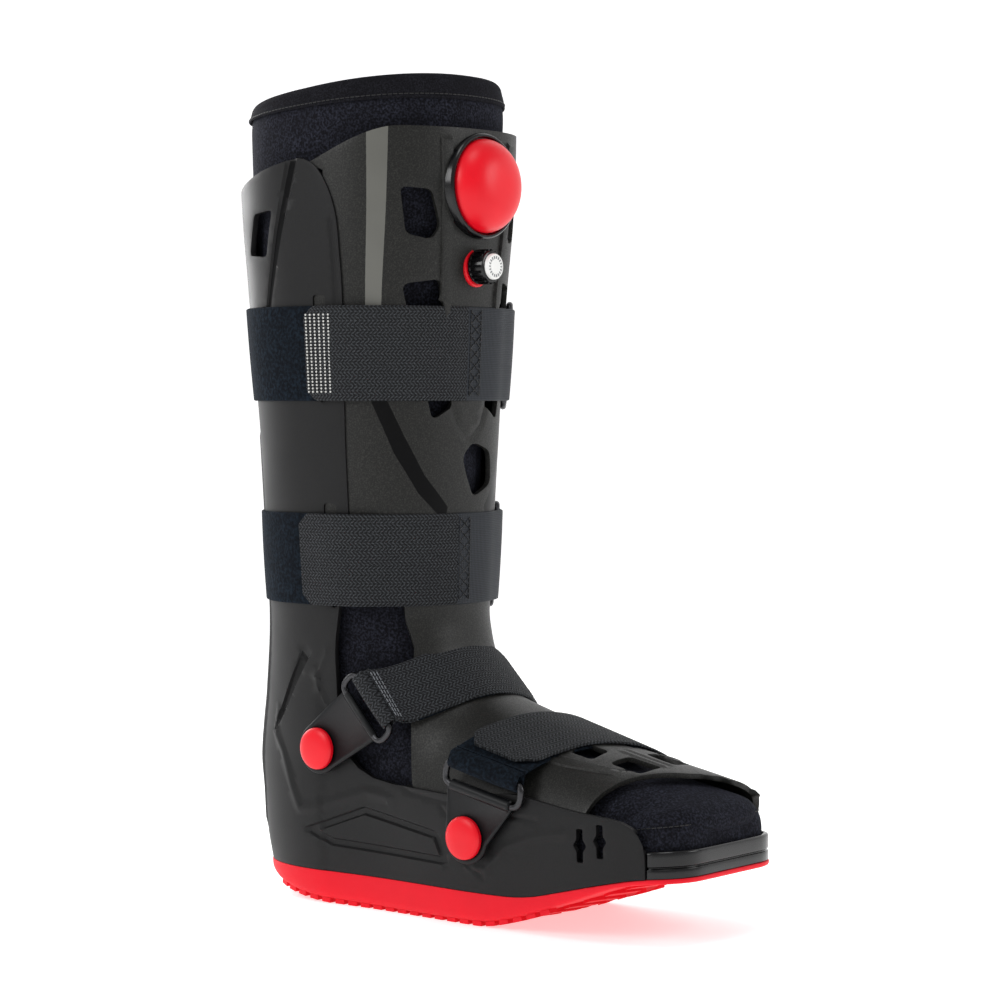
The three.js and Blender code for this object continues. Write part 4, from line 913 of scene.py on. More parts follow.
PANEL_WINDOWS = (
    # across and height of the corners in the front view, on the far side
    (((43.6, 361.5), (30.7, 360.4), (25.3, 342.4), (29.3, 335.8), (40.5, 338.5)), 3.1),
    (((40.3, 314), (22.9, 316.7), (11.7, 253.9), (24.1, 246.5)), 3.9),
)
TEAR_WINDOW = (((-5.6, 228.2), (2.6, 235.6), (18.3, 230.9), (20.2, 214.5), (3.5, 207.5)), 4.7)
TOE_WINDOWS = (
    (((205, 9.2), (205, 22.4), (218.7, 22.4), (218.7, 9.2)), 3.1),
    (((228.6, 6.1), (227.2, 20.4), (245.7, 20.4), (247.1, 5.1)), 3.1),
)
TOE_EDGE = ((230, -61), (232.9, -44.9), (239.1, -34.7), (245.9, -22.4), (259, 0), (269.2, 28.6), (271.2, 61))
# Quarter ellipse at each upper corner: its middle and its reach, across and up.
CORNER_MIDDLE, CORNER_REACH = (44, 370), (18.2, 21.1)
PANEL_CORNER = [
    (
        CORNER_MIDDLE[0] + CORNER_REACH[0] * math.sin(math.radians(turn)),
        CORNER_MIDDLE[1] + CORNER_REACH[1] * math.cos(math.radians(turn)),
    )
    for turn in range(0, 91, 9)
]
PANEL_TOP = [(0, 391.1), (24, 391.1), *PANEL_CORNER, (62.2, 366)]


SIDE_SPANS = 90
# Facets of the panel: turn from the front and height of their corners. The bright one is a painted highlight:
# grey where a black bevel strip reflects the light.
HIGHLIGHT_FACET = (
    (55, 390.5), (46, 391), (47, 350), (49, 303),
    (50, 256), (57, 256), (56, 303), (55, 350),
)
# The dark facet is painted shade: near black on the bevel under the upper strap, which faces away from the
# light.
SHADED_FACET = (
    (54, 256.5), (46.5, 256.5), (38, 238), (28, 219),
    (14.5, 203), (16, 195), (31, 210), (43, 230),
)
# Edges of the channel and of the shield under it: points as turn and height, half width
# at start and end, height and slope.
SHIN_LINES = (
    (((21, 384), (20, 350), (19, 310), (20, 262)), 0.9, 0.9, -1.3, 0.4),
    (((14, 256), (9, 244), (2, 238)), 1.0, 0.6, 0.9, 1.8),
)
# Ridges over the toes, with their points in the plan view.
TOE_LINES = (
    (((196, 27), (212, 26), (230, 24), (237, 22)), 0.5, 0.3, 0.9, 1.2),
    (((196, 31), (212, 30), (226, 28), (233, 26)), 0.7, 0.4, -0.8, 1.0),
    (((222, 2.5), (236, 2.5), (246, 2.5)), 0.5, 0.3, -0.5, 0.8),
)


def make_panel(sizes):
    """Front panel from the upper edge over the shin to the toes, with its windows."""
    top = [panel_place(y, z, "front", (y * 1.1, 10.0)) for y, z in even(PANEL_TOP, 4.0, closed=False)]
    toe = []
    for x, y in even(TOE_EDGE, 5.0, closed=False):
        place = panel_place(x, y, "plan", (y * 1.4, PANEL_PLACES[-3]))
        if abs(place[0]) < SIDE_RUN - 1 and math.dist(panel_point(*place)[:2], (x, y)) < 0.5:
            toe.append(place)
    start, far_end, near_end = top[-1][1], toe[-1][1], toe[0][1]
    reach = PANEL_CURVES[-1]
    side = []
    for step in range(1, SIDE_SPANS + 1):
        along = start + (max(far_end, near_end) - start) * step / SIDE_SPANS
        side.append((min(reach(along), 1.0) * SIDE_RUN, along))
    far_side = [p for p in side if p[1] < far_end - 1]
    near_side = [(-a, b) for a, b in side if b < near_end - 1]
    outline = top + far_side + toe[::-1] + near_side[::-1] + [(-a, b) for a, b in reversed(top[1:])]
    holes = []
    for corners, cut in PANEL_WINDOWS:
        loop = [panel_place(y, z, "front", (y * 1.3, 391 - z)) for y, z in rounded(corners, cut)]
        holes.extend(both_sides(loop))
    corners, cut = TEAR_WINDOW
    holes.append([panel_place(y, z, "front", (y, 391 - z)) for y, z in rounded(corners, cut)])
    for corners, cut in TOE_WINDOWS:
        loop = [panel_place(x, y, "plan", (y, PANEL_PLACES[-6])) for x, y in rounded(corners, cut)]
        holes.extend(both_sides(loop))
    zones, relief = [], []
    for hand in (1, -1):
        # Facet zones: the first takes the painted highlight, the second the painted shade.
        for number, corners in enumerate((HIGHLIGHT_FACET, SHADED_FACET), 1):
            zones.append(([panel_turn(hand * turn, z) for turn, z in corners], number))
        for points, *form in SHIN_LINES:
            line = [panel_turn(hand * turn, z) for turn, z in even(points, 4.0, closed=False)]
            relief.append((line, *form))
        for points, *form in TOE_LINES:
            line = []
            for x, y in even(points, 5.0, closed=False):
                line.append(panel_place(x, hand * y, "plan", (hand * y, PANEL_PLACES[-5])))
            relief.append((line, *form))
    looks = [LOOKS["panel"], LOOKS["facet"], LOOKS["black_facet"]]
    piece = trimmed_sheet("panel_skin", panel_point, outline, holes, sizes.mesh_step, zones, relief, looks)
    return thicken(piece, PANEL_WALL, sizes.edge_round)


# Sole and ledge


def footprint(z, grow):
    """Outline of the foot at a height, from the middle of the heel round the far side."""
    half = []
    for step in range(19):
        half.append(shell_point(HEEL_RUN * (step / 18), z, -grow)[:2])
    corner = FOOT_LENGTH - TOE_CORNER
    for step in range(1, 31):
        x = LEG_CENTRE + (corner - LEG_CENTRE) * step / 30
        half.append(np.array((x, tray_half(x, z) + grow)))
    centre = tray_half(corner, z) - TOE_CORNER
    for step in range(1, 9):
        turn = math.pi / 2 * step / 8
        radius = TOE_CORNER + grow
        half.append(np.array((corner + radius * math.sin(turn), centre + radius * math.cos(turn))))
    for step in range(1, 5):
        half.append(np.array((FOOT_LENGTH + grow, centre * (1 - step / 4))))
    return half


def ring_of(half):
    """Closed outline from its half on the far side."""
    return list(half) + [np.array((p[0], -p[1])) for p in reversed(half[1:-1])]


def faces_between(rings, count):
    """Faces between a number of rings that follow each other, of as many points each."""
    faces = []
    for first in range(0, (rings - 1) * count, count):
        for i in range(count):
            a, b = first + i, first + (i + 1) % count
            faces.append((a, b, b + count, a + count))
    return faces


def loft(name, rings, looks, close_ends=True):
    """Skin through rings of as many points each. Ends are closed with a fan."""
    count = len(rings[0])
    points = [p for ring in rings for p in ring]
    faces = faces_between(len(rings), count)
    if close_ends:
        for first, flip in ((0, True), ((len(rings) - 1) * count, False)):
            hub = len(points)
            points.append(np.mean(points[first : first + count], axis=0))
            for i in range(count):
                a, b = first + i, first + (i + 1) % count
                faces.append((b, a, hub) if flip else (a, b, hub))
    return face_out(make_object(name, points, faces, looks))


# Depth of the tread under the slab, and the least height of the slab.
TREAD = 2.2
SLAB_LEAST = 2.5
# Side of the slab: share of the way down, and how far it stands out from the tray.
SLAB_SIDE = ((0.0, 0.1), (0.08, 0.3), (0.45, 0.3), (0.75, 0.1), (0.9, -0.7), (0.97, -1.8), (1.0, -3.4))


def make_sole():
    """Rocker sole: a rounded slab that follows the tray, without its lugs."""
    points = []
    for share, grow in SLAB_SIDE:
        ring = ring_of(footprint(SOLE_TOP, grow))
        for x, y in ring:
            top = sole_line(x)
            low = min(rocker(x) + TREAD, top - SLAB_LEAST)
            points.append(np.array((x, y, top + (low - top) * share)))
    count = len(ring)
    faces = faces_between(len(SLAB_SIDE), count)
    for first in (0, len(points) - count):
        for i in range(count // 2):
            near, far = (count - i) % count, (count - i - 1) % count
            face = [first + i, first + i + 1, first + far, first + near]
            faces.append(tuple(dict.fromkeys(face)))
    piece = make_object("sole_slab", points, faces, [LOOKS["sole"]])
    face_out(piece, 0.001)
    piece.data.set_sharp_from_angle(angle=math.radians(50))
    return piece


def point_cloud(name, points, vectors):
    """Object of bare points with named vector attributes, for a node tree to fill."""
    mesh = bpy.data.meshes.new(name)
    mesh.from_pydata([tuple((np.array(p) + ORIGIN) * MM) for p in points], [], [])
    for key, values in vectors.items():
        layer = mesh.attributes.new(key, "FLOAT_VECTOR", "POINT")
        layer.data.foreach_set("vector", np.array(values, float).ravel())
    made = bpy.data.objects.new(name, mesh)
    bpy.context.scene.collection.objects.link(made)
    return made


# Sides of the rods that stand for a stitch and for a printed dot.
ROD_SIDES = {"strand": 6, "dot": 8}


def scatter_tree(name, kind, sizes, look):
    """Node tree that puts one small body on every point: turned by the attribute turn and
    scaled by the attribute span. sizes are its named inputs with their defaults: three
    lengths of a block, or the length and radius of a strand or dot."""
    tree = bpy.data.node_groups.new(name, "GeometryNodeTree")
    tree.interface.new_socket("Geometry", in_out="INPUT", socket_type="NodeSocketGeometry")
    for label, value in sizes.items():
        socket = tree.interface.new_socket(label, in_out="INPUT", socket_type="NodeSocketFloat")
        socket.default_value = value
    tree.interface.new_socket("Geometry", in_out="OUTPUT", socket_type="NodeSocketGeometry")
    entry = add_node(tree, "NodeGroupInput")
    points, *lengths = [entry.outputs[i] for i in range(len(sizes) + 1)]
    if kind == "block":
        size = add_node(tree, "ShaderNodeCombineXYZ", None, i0=lengths[0], i1=lengths[1], i2=lengths[2])
        body = add_node(tree, "GeometryNodeMeshCube", None, Size=size.outputs[0])
    else:
        rod = {"Vertices": ROD_SIDES[kind], "Depth": lengths[0], "Radius": lengths[1]}
        body = add_node(tree, "GeometryNodeMeshCylinder", {"fill_type": "TRIANGLE_FAN"}, **rod)
    turn = add_node(tree, "GeometryNodeInputNamedAttribute", {"data_type": "FLOAT_VECTOR"}, Name="turn")
    span = add_node(tree, "GeometryNodeInputNamedAttribute", {"data_type": "FLOAT_VECTOR"}, Name="span")
    place = {"Points": points, "Instance": body.outputs[0]}
    place.update(Rotation=turn.outputs[0], Scale=span.outputs[0])
    placed = add_node(tree, "GeometryNodeInstanceOnPoints", None, **place)
    real = add_node(tree, "GeometryNodeRealizeInstances", None, i0=placed.outputs[0])
    tinted = add_node(tree, "GeometryNodeSetMaterial", None, Geometry=real.outputs[0], Material=look)
    leave = add_node(tree, "NodeGroupOutput")
    tree.links.new(tinted.outputs[0], leave.inputs[0])
    return tree


def scatter(name, places, kind, sizes, look, sharp=30.0):
    """Fills places, each a point, three turns and three scales, with small bodies."""
    points, turns, spans = zip(*places)
    cloud = point_cloud(name, points, {"turn": turns, "span": spans})
    tree = scatter_tree(name + "_nodes", kind, sizes, look)
    fill = cloud.modifiers.new("fill", "NODES")
    fill.node_group = tree
    for item in tree.interface.items_tree:
        if item.in_out == "INPUT" and item.name in sizes:
            fill[item.identifier] = sizes[item.name]
    bake(cloud, sharp)
    if not cloud.data.materials:
        cloud.data.materials.append(look)
    return cloud


def aim_turn(along, away):
    """Turns that lay a body's Z along one direction and its X near another."""
    z = Vector(along).normalized()
    x = Vector(away)
    x = (x - z * x.dot(z)).normalized()
    y = z.cross(x)
    return tuple(Matrix((x, y, z)).transposed().to_euler())


# The edge lugs run where the walking surface is nearly level, set in from the edge.
LUGS_FROM, LUGS_TO, LUG_INSET = 26, 214, 5.2


def lug_place(x, y, turn, span=(1, 1, 1)):
    """Place of a lug on the walking surface, sloped as the rocker is there."""
    slope = math.atan2(rocker(x + 1) - rocker(x - 1), 2.0)
    return (x, y, rocker(x) + TREAD / 2 + 0.15), (0, -slope, turn), span


def sole_lugs(sizes):
    """Places of the lugs: small ones round the edge and bars across the middle."""
    places = []
    line = even(footprint(SOLE_TOP, -LUG_INSET), 1.0, closed=False)
    run, last = 0.0, None
    for i in range(1, len(line)):
        run += np.linalg.norm(line[i] - line[i - 1])
        if last is not None and run - last < sizes.lug_pitch:
            continue
        last = run
        (x, y), heading = line[i], line[i] - line[i - 1]
        if LUGS_FROM < x < LUGS_TO:
            for side in (1, -1):
                places.append(lug_place(x, y * side, math.atan2(heading[1] * side, heading[0])))
    for x in np.arange(18.0, FOOT_LENGTH - 16, sizes.lug_pitch * 1.5):
        if x > LEG_CENTRE:
            wide = tray_half(x, SOLE_TOP)
        else:
            wide = abs(shell_point(shell_plan(x, SOLE_TOP, 1)[0], SOLE_TOP)[1])
        if rocker(x) + TREAD < sole_line(x) - SLAB_LEAST and wide > 18:
            for side in (1, -1):
                bar = (0.9, (wide - 11) / 12, 1)
                places.append(lug_place(x, side * (wide - 11) / 2, side * 0.25, bar))
    return places


LEDGE_START = 267.26
# Level at which the outline of ledge and toe pad is taken.
LEDGE_LEVEL = SOLE_TOP + 8
# Front of the ledge with its groove and lip: height over the sole, and how far out.
LEDGE_FRONT = (
    (0.3, -0.3), (4.6, -0.3), (5.0, -1.2), (5.6, -1.2), (6.0, -0.3),
    (12.2, -0.3), (13.0, -1.1), (13.0, -2.6), (11.5, -3.2),
)


def make_ledge():
    """Toe ledge: a polished step with a lip, from the shell's end to the toe."""
    corner = FOOT_LENGTH - TOE_CORNER
    over = (LEDGE_START - corner) / TOE_CORNER
    rings = []
    for rise, grow in LEDGE_FRONT:
        round_off = (TOE_CORNER + grow) * math.sqrt(max(1 - over * over, 0))
        edge = tray_half(corner, LEDGE_LEVEL) - TOE_CORNER + round_off
        half = [np.array((LEDGE_START, edge * share)) for share in (0.0, 0.5, 1.0)]
        half += [p for p in footprint(LEDGE_LEVEL, grow) if p[0] > LEDGE_START + 0.01]
        rings.append([np.array((p[0], p[1], sole_line(p[0]) + rise)) for p in ring_of(half)])
    piece = loft("toe_ledge_step", rings, [LOOKS["gloss"]])
    soften(piece, 0.35, 2, 35.0)
    return bake(piece)


# Liner


LINER_WALL = 9.0
# The liner's wall is round above this place of its rows. It is modelled thinner by the
# room on each face that the swelling takes.
RIM_PLACE = 5.0
SWELL_ROOM = 0.9
SWELL_FRAMES = 12


def subdivide(piece, levels):
    """Smooths a soft piece by a number of subdivisions."""
    finer = piece.modifiers.new("finer", "SUBSURF")
    finer.levels = finer.render_levels = levels
    return bake(piece, 180.0)


def vertex_places(mesh):
    """Places of a mesh's points, one row each."""
    flat = np.empty(len(mesh.vertices) * 3)
    mesh.vertices.foreach_get("co", flat)
    return flat.reshape(-1, 3)


def make_liner(sizes):
    """Padded liner: a foam boot with a round rim, swollen by a short cloth simulation."""
    steps, skin = 72, LINER_SEAT + SWELL_ROOM
    turns = [2 * math.pi * i / steps for i in range(steps)]
    end = LINER_PLACES[-1]
    rings = []
    for place in np.linspace(end, RIM_PLACE, 100):
        rings.append([row_point(LINER_CURVES, place, t, skin, SWELL_ROOM) for t in turns])
    reach = LINER_WALL / 2 - SWELL_ROOM
    for step in range(1, 9):
        arc = math.pi * step / 9
        depth = skin + reach - math.cos(arc) * reach
        ring = [row_point(LINER_CURVES, RIM_PLACE, t, depth, depth - skin + SWELL_ROOM) for t in turns]
        rings.append([p + np.array((0, 0, 4.2 * math.sin(arc))) for p in ring])
    inner = LINER_SEAT + LINER_WALL
    for place in np.linspace(RIM_PLACE, end * 0.93, 70):
        rings.append([row_point(LINER_CURVES, place, t, inner, LINER_WALL - 2) for t in turns])
    piece = loft("liner_pad", rings, [LOOKS["lining"]])
    remesh = piece.modifiers.new("even_mesh", "REMESH")
    remesh.mode = "VOXEL"
    remesh.voxel_size = 5.2 * MM
    bake(piece, 180.0)
    start = vertex_places(piece.data)
    scene = bpy.context.scene
    cloth = piece.modifiers.new("swell", "CLOTH")
    cloth.settings.use_pressure = True
    cloth.settings.uniform_pressure_force = 4.0
    cloth.settings.effector_weights.gravity = 0.0
    cloth.settings.quality = 4
    cloth.point_cache.frame_start, cloth.point_cache.frame_end = 1, SWELL_FRAMES
    for frame_number in range(1, SWELL_FRAMES + 1):
        scene.frame_set(frame_number)
    bake(piece, 180.0)
    scene.frame_set(1)
    move = vertex_places(piece.data) - start
    length = np.linalg.norm(move, axis=1)
    cap = sizes.pile_depth * 0.6 * MM
    move *= (np.minimum(length, cap) / np.maximum(length, 1e-9))[:, None]
    piece.data.vertices.foreach_set("co", (start + move).ravel())
    piece.data.update()
    ease = piece.modifiers.new("ease", "SMOOTH")
    ease.factor, ease.iterations = 0.5, 3
    return subdivide(piece, 1)


PAD_START, PAD_END, PAD_INSET = 215.0, 281, 3.4
# Section of the toe pad: height over the sole, and how far it lies inside the tray.
PAD_SECTION = (
    (9, 4.4), (11, 3.7), (14, 3.4), (19, 3.6), (24, 4.8),
    (28, 7.5), (31, 12), (32.6, 18), (33, 25),
)


def make_toe_pad():
    """Padded toe end of the liner, from inside the tray down to the ledge."""
    half = [p for p in footprint(LEDGE_LEVEL, -PAD_INSET) if p[0] > PAD_START]
    half = [np.array((PAD_START, 0.0)), np.array((PAD_START, half[0][1] * 0.5))] + half
    rings = []
    for rise, inset in PAD_SECTION:
        pull = max(inset - PAD_INSET, 0)
        ring = []
        for x, y in ring_of(half):
            x_in = x - pull * smooth_step(x, 240, PAD_END)
            y_in = y * (1 - pull / 48)
            ring.append(np.array((x_in, y_in, sole_line(x) + rise - 0.036 * (PAD_END - x))))
        rings.append(ring)
    piece = loft("toe_pad", rings, [LOOKS["lining"]])
    return subdivide(piece, 2), rings


COLLAR_STEPS = 120


def collar_ring(place, depth, lift=0.0):
    """Ring of points on the liner's collar."""
    ring = []
    for i in range(COLLAR_STEPS):
        point = row_point(LINER_CURVES, place, 2 * math.pi * i / COLLAR_STEPS, depth, depth - LINER_SEAT)
        ring.append(point + np.array((0, 0, lift)))
    return ring


# The binding lies this far inside the line of the liner's faces, less at its two edges.
BINDING_SINK, EDGE_SINK = 0.1, 0.02
BINDING_WALL = 1.3


def make_binding():
    """Binding over the liner's rim: a soft knitted band turned over the edge."""
    section = [(14.0, LINER_SEAT + EDGE_SINK, 0.0)]
    section += [(place, LINER_SEAT + BINDING_SINK, 0.0) for place in (12.5, 10.0, 7.5)]
    middle, reach = LINER_SEAT + LINER_WALL / 2, LINER_WALL / 2 - BINDING_SINK
    for step in range(11):
        arc = math.pi * step / 10
        section.append((5.5, middle - math.cos(arc) * reach, 5.3 * math.sin(arc)))
    section += [(place, LINER_SEAT + LINER_WALL - BINDING_SINK, 0.0) for place in (8.0, 11.0)]
    section.append((13.0, LINER_SEAT + LINER_WALL - EDGE_SINK, 0.0))
    rings = [collar_ring(*entry) for entry in section]
    inner = []
    for i, (place, depth, lift) in enumerate(section):
        inset = BINDING_WALL if i < 9 else -BINDING_WALL
        inner.append((place, depth + inset, max(lift - BINDING_WALL, 0.0)))
    rings += [collar_ring(*entry) for entry in reversed(inner)]
    rings.append(rings[0])
    piece = loft("collar_binding", rings, [LOOKS["binding"]], close_ends=False)
    return subdivide(face_out(piece, 0.01), 1)


def stitch_places(line, facing, pitch):
    """Places of the stitches of one row: points of the line and the outward directions."""
    line = [np.array(p, float) for p in line]
    lengths = [np.linalg.norm(b - a) for a, b in zip(line, line[1:])]
    places, run, target = [], 0.0, pitch / 2
    for i, length in enumerate(lengths):
        while target <= run + length:
            t = (target - run) / max(length, 1e-9)
            heading = (line[i + 1] - line[i]) / max(length, 1e-9)
            away = np.array(facing[i], float)
            point = line[i] + (line[i + 1] - line[i]) * t
            places.append((tuple(point), aim_turn(heading, away), (1, 1, 1)))
            target += pitch
        run += length
    return places


def sew(name, rows, sizes, look):
    """Stitches of many rows as one piece."""
    places = [place for line, facing in rows for place in stitch_places(line, facing, sizes.stitch_gap)]
    inputs = {"Stitch length": sizes.stitch_length * MM, "Thread radius": 0.28 * MM}
    return scatter(name, places, "strand", inputs, look, 60.0)


# Leg straps

PUMP_HEIGHT = 363.09
VALVE_HEIGHT = 322.92
STRAP_THICK = 1.6
RING_WIRE = 3.6
RING_DEPTH = 15.0
WRAP_GAP = 0.7
LEG_STRAPS = (
    # name, height, width, turn of the ring, turn of the tip, turn of the box stitch
    ("calf", 279.63, 47.0, -50.0, 85.0, 4.0),
    ("shin", 177.06, 46.0, -50.0, 95.0, 8.0),
)
# Wire of a leg ring lies this far over the leg, and its bars this far from its middle.
WIRE_LIFT = 3.8
BAR_REACH = 5.7
CURL = 1.8


def leg_radius(degrees, z):
    """Distance from the leg's middle line to its outside at a turn and a height."""
    turn = math.radians(degrees)

    def polar(long, half):
        ends = (abs(math.cos(turn)) / long) ** SHELL_POWER + (abs(math.sin(turn)) / half) ** SHELL_POWER
        return ends ** (-1 / SHELL_POWER)

    panel = polar(panel_front(z) - LEG_CENTRE, shell_half(z) - PANEL_SEAT)
    shell = polar(LEG_CENTRE - shell_back(z), shell_half(z))
    around = abs((degrees + 180) % 360 - 180)
    return panel + (shell - panel) * smooth_step(around, 42, 62)


def leg_place(degrees, z, offset):
    """Point over the leg's outside at a turn from the front, positive to the seen side."""
    turn = math.radians(degrees)
    radius = leg_radius(degrees, z) + offset
    return np.array((LEG_CENTRE + radius * math.cos(turn), -radius * math.sin(turn), z))


def band(name, rows, looks, thick=STRAP_THICK, cuts=(0.0, 0.0), look_of=None, puff=0.0):
    """Strap through rows of upper and lower points of one face. It is as thick as given,
    with round edges and cut corners at its ends, and carries the map called strap."""
    rows = [(np.array(a, float), np.array(b, float)) for a, b in rows]
    middles = [(a + b) / 2 for a, b in rows]
    run = [0.0]
    for a, b in zip(middles, middles[1:]):
        run.append(run[-1] + np.linalg.norm(b - a))
    radius = thick / 2
    points, maps = [], []
    for i, (high, low) in enumerate(rows):
        wide = np.linalg.norm(low - high)
        side = (low - high) / wide
        ahead = middles[min(i + 1, len(rows) - 1)] - middles[max(i - 1, 0)]
        away = np.cross(ahead, side)
        away /= max(np.linalg.norm(away), 1e-9)
        cut = max(cuts[0] - run[i], cuts[1] - (run[-1] - run[i]), 0.0)
        reach = wide / 2 - radius - cut
        wave = puff * (0.5 + 0.5 * math.sin(run[i] / 9.0) * math.cos(run[i] / 23.0))
        section = []
        for step in range(9):
            across = -1 + step / 4
            section.append((across * reach, thick + wave * (1 - across * across)))
        for turn in (60, 0, -60):
            angle = math.radians(turn)
            section.append((reach + radius * math.cos(angle), radius + radius * math.sin(angle)))
        for step in range(5):
            section.append(((1 - step / 2) * reach, 0.0))
        for turn in (-120, 180, 120):
            angle = math.radians(turn)
            section.append((-reach + radius * math.cos(angle), radius + radius * math.sin(angle)))
        for across, lift in section:
            points.append(middles[i] + side * across + away * lift)
            maps.append((run[i] * MM, across * MM))
    count, spans = len(points) // len(rows), len(rows) - 1
    faces = faces_between(len(rows), count)
    picks = [look_of(r / spans) if look_of else 0 for r in range(spans) for _ in range(count)]
    for first, flip in ((0, True), (spans * count, False)):
        loop = list(range(first, first + count))
        faces.append(tuple(reversed(loop)) if flip else tuple(loop))
        picks.append(picks[0] if flip else picks[-1])
    piece = make_object(name, points, faces, looks)
    piece.data.polygons.foreach_set("material_index", picks)
    layer = piece.data.uv_layers.new(name="strap")
    for loop in piece.data.loops:
        layer.data[loop.index].uv = maps[loop.vertex_index]
    face_out(piece)
    piece.data.set_sharp_from_angle(angle=math.radians(50))
    return piece


def leg_turn(ring, z, run):
    """Turn at which the leg's outside is a run away from a ring's middle."""
    return ring + math.degrees(run / leg_radius(ring + math.copysign(4, run), z))


def leg_row_pair(z, width, turn, lift):
    """Upper and lower point of a leg strap at a turn, over the leg by a lift."""
    return (leg_place(turn, z + width / 2, lift), leg_place(turn, z - width / 2, lift))


def make_leg_base(name, z, width, ring):
    """Lower layer of a leg strap: round the leg and sewn back over the ring's far bar."""
    first, last = leg_turn(ring, z, 8.5), leg_turn(ring, z, -BAR_REACH) + 360
    rows = [leg_row_pair(z, width, turn, 0.4) for turn in np.arange(first, last, 3.0)]
    for step in range(9):
        angle = math.radians(-90 + 180 * step / 8)
        turn = leg_turn(ring, z, -BAR_REACH + (CURL + STRAP_THICK) * math.cos(angle))
        rows.append(leg_row_pair(z, width, turn, WIRE_LIFT + (CURL + STRAP_THICK) * math.sin(angle)))
    top = WIRE_LIFT + CURL + STRAP_THICK
    for run in range(2, 27, 3):
        fall = smooth_step(run, 0, 18)
        rows.append(leg_row_pair(z, width, leg_turn(ring, z, -BAR_REACH - run), top + (3.8 - top) * fall))
    return band(name, rows, [LOOKS["velour"]], puff=0.5)


def make_leg_tab(name, z, width, ring, tip, seam):
    """Upper layer of a leg strap: round the ring's near bar and back over the front."""
    rows = [leg_row_pair(z, width, leg_turn(ring, z, run), 2.0) for run in (8.3, 7.0)]
    for step in range(9):
        angle = math.radians(270 - 180 * step / 8)
        turn = leg_turn(ring, z, BAR_REACH + CURL * math.cos(angle))
        rows.append(leg_row_pair(z, width, turn, WIRE_LIFT + CURL * math.sin(angle)))
    turns = list(np.arange(leg_turn(ring, z, BAR_REACH + 2), tip - 3.0, 2.0))
    turns += list(np.linspace(turns[-1] + 1.5, tip, 9))
    for turn in turns:
        run = math.radians(turn - ring) * leg_radius(ring, z) - BAR_REACH
        low = 2.25 + 0.25 * math.sin(turn / 5.0)
        lift = WIRE_LIFT + CURL + (low - WIRE_LIFT - CURL) * smooth_step(run, 0, 20)
        rows.append(leg_row_pair(z, width, turn, lift))
    share = (11 + sum(1 for turn in turns if turn < seam)) / (len(rows) - 1)
    looks = [LOOKS["webbing"], LOOKS["tape"]]
    return band(name, rows, looks, cuts=(0.0, 5.0), look_of=lambda at: 0 if at < share else 1, puff=0.35)


def leg_line(z, lift, corners):
    """Line over the leg through places of turn and rise, and its outward directions."""
    flat = even(corners, 2.0, closed=False)
    line = [leg_place(turn, z + rise, lift) for turn, rise in flat]
    return line, [p - np.array((LEG_CENTRE, 0, p[2])) for p in line]


def cross_stitch(low, high, bottom, top, cells):
    """Flat lines of a box stitch: its frame and two zigzags that cross."""
    lines = [((low, bottom), (low, top)), ((high, bottom), (high, top))]
    for start in (0, 1):
        ends = [((low, high)[(k + start) % 2], bottom + (top - bottom) * k / cells) for k in range(cells + 1)]
        lines.append(tuple(ends))
    return lines


def closed_tube(name, centres, radius, look, sides=14):
    """Round wire along a closed line."""
    centres = [np.array(p, float) for p in centres]
    count = len(centres)
    middle = np.mean(centres, axis=0)
    normal = np.zeros(3)
    for a, b in zip(centres, centres[1:]):
        normal += np.cross(a - middle, b - middle)
    normal /= np.linalg.norm(normal)
    points, faces = [], []
    for i, centre in enumerate(centres):
        ahead = centres[(i + 1) % count] - centres[i - 1]
        out = np.cross(ahead / np.linalg.norm(ahead), normal)
        for side in range(sides):
            roll = 2 * math.pi * side / sides
            points.append(centre + radius * (math.cos(roll) * out + math.sin(roll) * normal))
    for i in range(count):
        for side in range(sides):
            a, b = i * sides + side, i * sides + (side + 1) % sides
            c, d = (i + 1) % count * sides + (side + 1) % sides, (i + 1) % count * sides + side
            faces.append((a, b, c, d))
    return face_out(make_object(name, points, faces, [look]))


def make_ring(name, width, centre, long, short):
    """Wire ring: a rounded rectangle in the plane of two directions."""
    u, v = width / 2 + 1 + RING_WIRE / 2, (RING_DEPTH - RING_WIRE) / 2
    corners = [(-u, -v), (u, -v), (u, v), (-u, v)]
    flat = even(rounded(corners, 5.0, 8), 3.0)
    centres = [centre + long * u + short * v for u, v in flat]
    return closed_tube(name, centres, RING_WIRE / 2 - 0.1, LOOKS["wire"])


def make_leg_ring(name, z, width, ring):
    """Ring of a leg strap."""
    up = leg_place(ring, z + 1, 0) - leg_place(ring, z - 1, 0)
    around = leg_place(ring - 2, z, 0) - leg_place(ring + 2, z, 0)
    up, around = up / np.linalg.norm(up), around / np.linalg.norm(around)
    away = np.cross(up, around)
    away *= 1 if np.dot(away, leg_place(ring, z, 0) - np.array((LEG_CENTRE, 0, z))) > 0 else -1
    return make_ring(name, width, leg_place(ring, z, 0) + away * WIRE_LIFT, up, around)


# Foot straps

